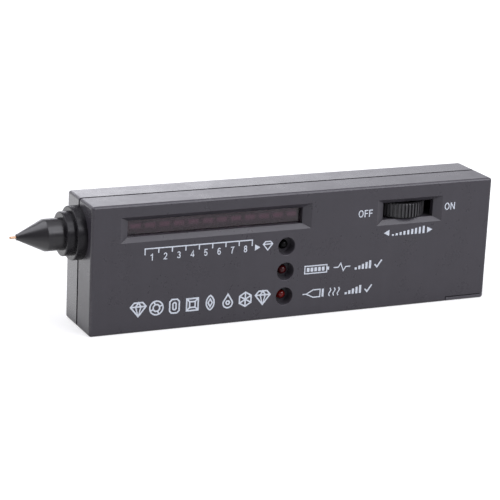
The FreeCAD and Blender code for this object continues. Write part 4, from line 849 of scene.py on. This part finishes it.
def make_surround():
    """A white surround that lights the part softly. Gloss sees a white
    backdrop behind, with a glow low on it that fades to the right, a dimmer
    room in front, a dim ceiling and a bright patch overhead."""
    world = bpy.data.worlds.new("surround")
    bpy.context.scene.world = world
    tree = emptied_tree(world)
    seen = node(tree, "LightPath").outputs
    x, y, z = axes_of(tree, node(tree, "TexCoord").outputs["Generated"])
    backdrop = maths(tree, "MINIMUM",
                     spread(tree, y, ROOM_TO_BACKDROP_Y, (ROOM_MIRRORED, 1.0)),
                     spread(tree, z, BACKDROP_TO_CEILING_Z, (1.0, CEILING_MIRRORED)))
    overhead = spread(tree, z, CEILING_TO_OVERHEAD_Z,
                      (0.0, OVERHEAD_MIRRORED - CEILING_MIRRORED))
    rear_glow = maths(tree, "MULTIPLY",
                      spread(tree, z, REAR_GLOW_START_Z, RISE),
                      spread(tree, z, REAR_GLOW_END_Z, FALL),
                      spread(tree, x, REAR_GLOW_START_X, RISE),
                      spread(tree, y, REAR_GLOW_START_Y, RISE),
                      spread(tree, x, REAR_GLOW_FADE_X, REAR_GLOW))
    direct = maths(tree, "MAXIMUM", seen["Is Camera Ray"], seen["Is Transmission Ray"])
    glossy = seen["Is Glossy Ray"]
    other = maths(tree, "SUBTRACT", 1.0, maths(tree, "MAXIMUM", direct, glossy))
    mirrored = maths(tree, "MULTIPLY", glossy,
                     maths(tree, "ADD", backdrop, overhead, rear_glow))
    strength = maths(tree, "MAXIMUM", direct, mirrored,
                     maths(tree, "MULTIPLY", other, SURROUND_LIGHT))
    tint = mixed(tree, direct, LIGHT_TINT, (1.0, 1.0, 1.0))
    background = node(tree, "Background", Color=tint, Strength=strength)
    node(tree, "OutputWorld", Surface=background.outputs[0])


def floor_paper(name):
    """Pale matt paper. It glows to the camera, to white away from the part,
    and in gloss at a level for each side of the part."""
    material, tree = new_material(name)
    seen = node(tree, "LightPath").outputs
    place = node(tree, "NewGeometry").outputs["Position"]
    x, y, _ = axes_of(tree, place)
    behind = spread(tree, y, FLOOR_BEHIND_Y, FLOOR_BEHIND)
    before = maths(tree, "MULTIPLY", spread(tree, y, FLOOR_FRONT_Y, FALL),
                   spread(tree, x, FLOOR_FRONT_X, FLOOR_FRONT))
    beside = maths(tree, "MULTIPLY", spread(tree, y, FLOOR_BESIDE_Y, RISE),
                   spread(tree, x, FLOOR_BESIDE_X, FLOOR_BESIDE))
    mirrored = maths(tree, "MULTIPLY", seen["Is Glossy Ray"],
                     maths(tree, "ADD", behind, before, beside))
    distance = node(tree, "VectorMath", {"operation": "LENGTH"}, i0=place).outputs["Value"]
    shown = maths(tree, "MULTIPLY", seen["Is Camera Ray"],
                  spread(tree, distance, FLOOR_SEEN_DISTANCE, FLOOR_SEEN))
    paper = node(tree, "BsdfDiffuse", Color=FLOOR_COLOUR)
    glow = node(tree, "Emission", Color=(1, 1, 1), Strength=maths(tree, "ADD", mirrored, shown))
    both = node(tree, "AddShader", i0=paper.outputs[0], i1=glow.outputs[0])
    node(tree, "OutputMaterial", Surface=both.outputs[0])
    return material


def make_floor():
    """A pale floor that keeps a soft shadow."""
    corners = [(x * FLOOR_REACH, y * FLOOR_REACH, 0)
               for x, y in ((-1, -1), (1, -1), (1, 1), (-1, 1))]
    data = bpy.data.meshes.new("floor")
    data.from_pydata(corners, [], [(0, 1, 2, 3)])
    data.materials.append(floor_paper("floor_pale"))
    linked("floor", data)


def make_studio():
    """The surround, the floor, and three softboxes: over the part's left end,
    to the right of the camera, and a small one beyond that."""
    make_surround()
    make_floor()
    for name, (place, size, radiance) in SOFTBOXES.items():
        make_softbox(name, place, size, radiance)


def main():
    """Dresses the tester and lights it."""
    make_camera()
    dress_nodes()
    lay_prints()
    make_studio()
    bpy.context.scene.view_settings.view_transform = "Standard"


main()
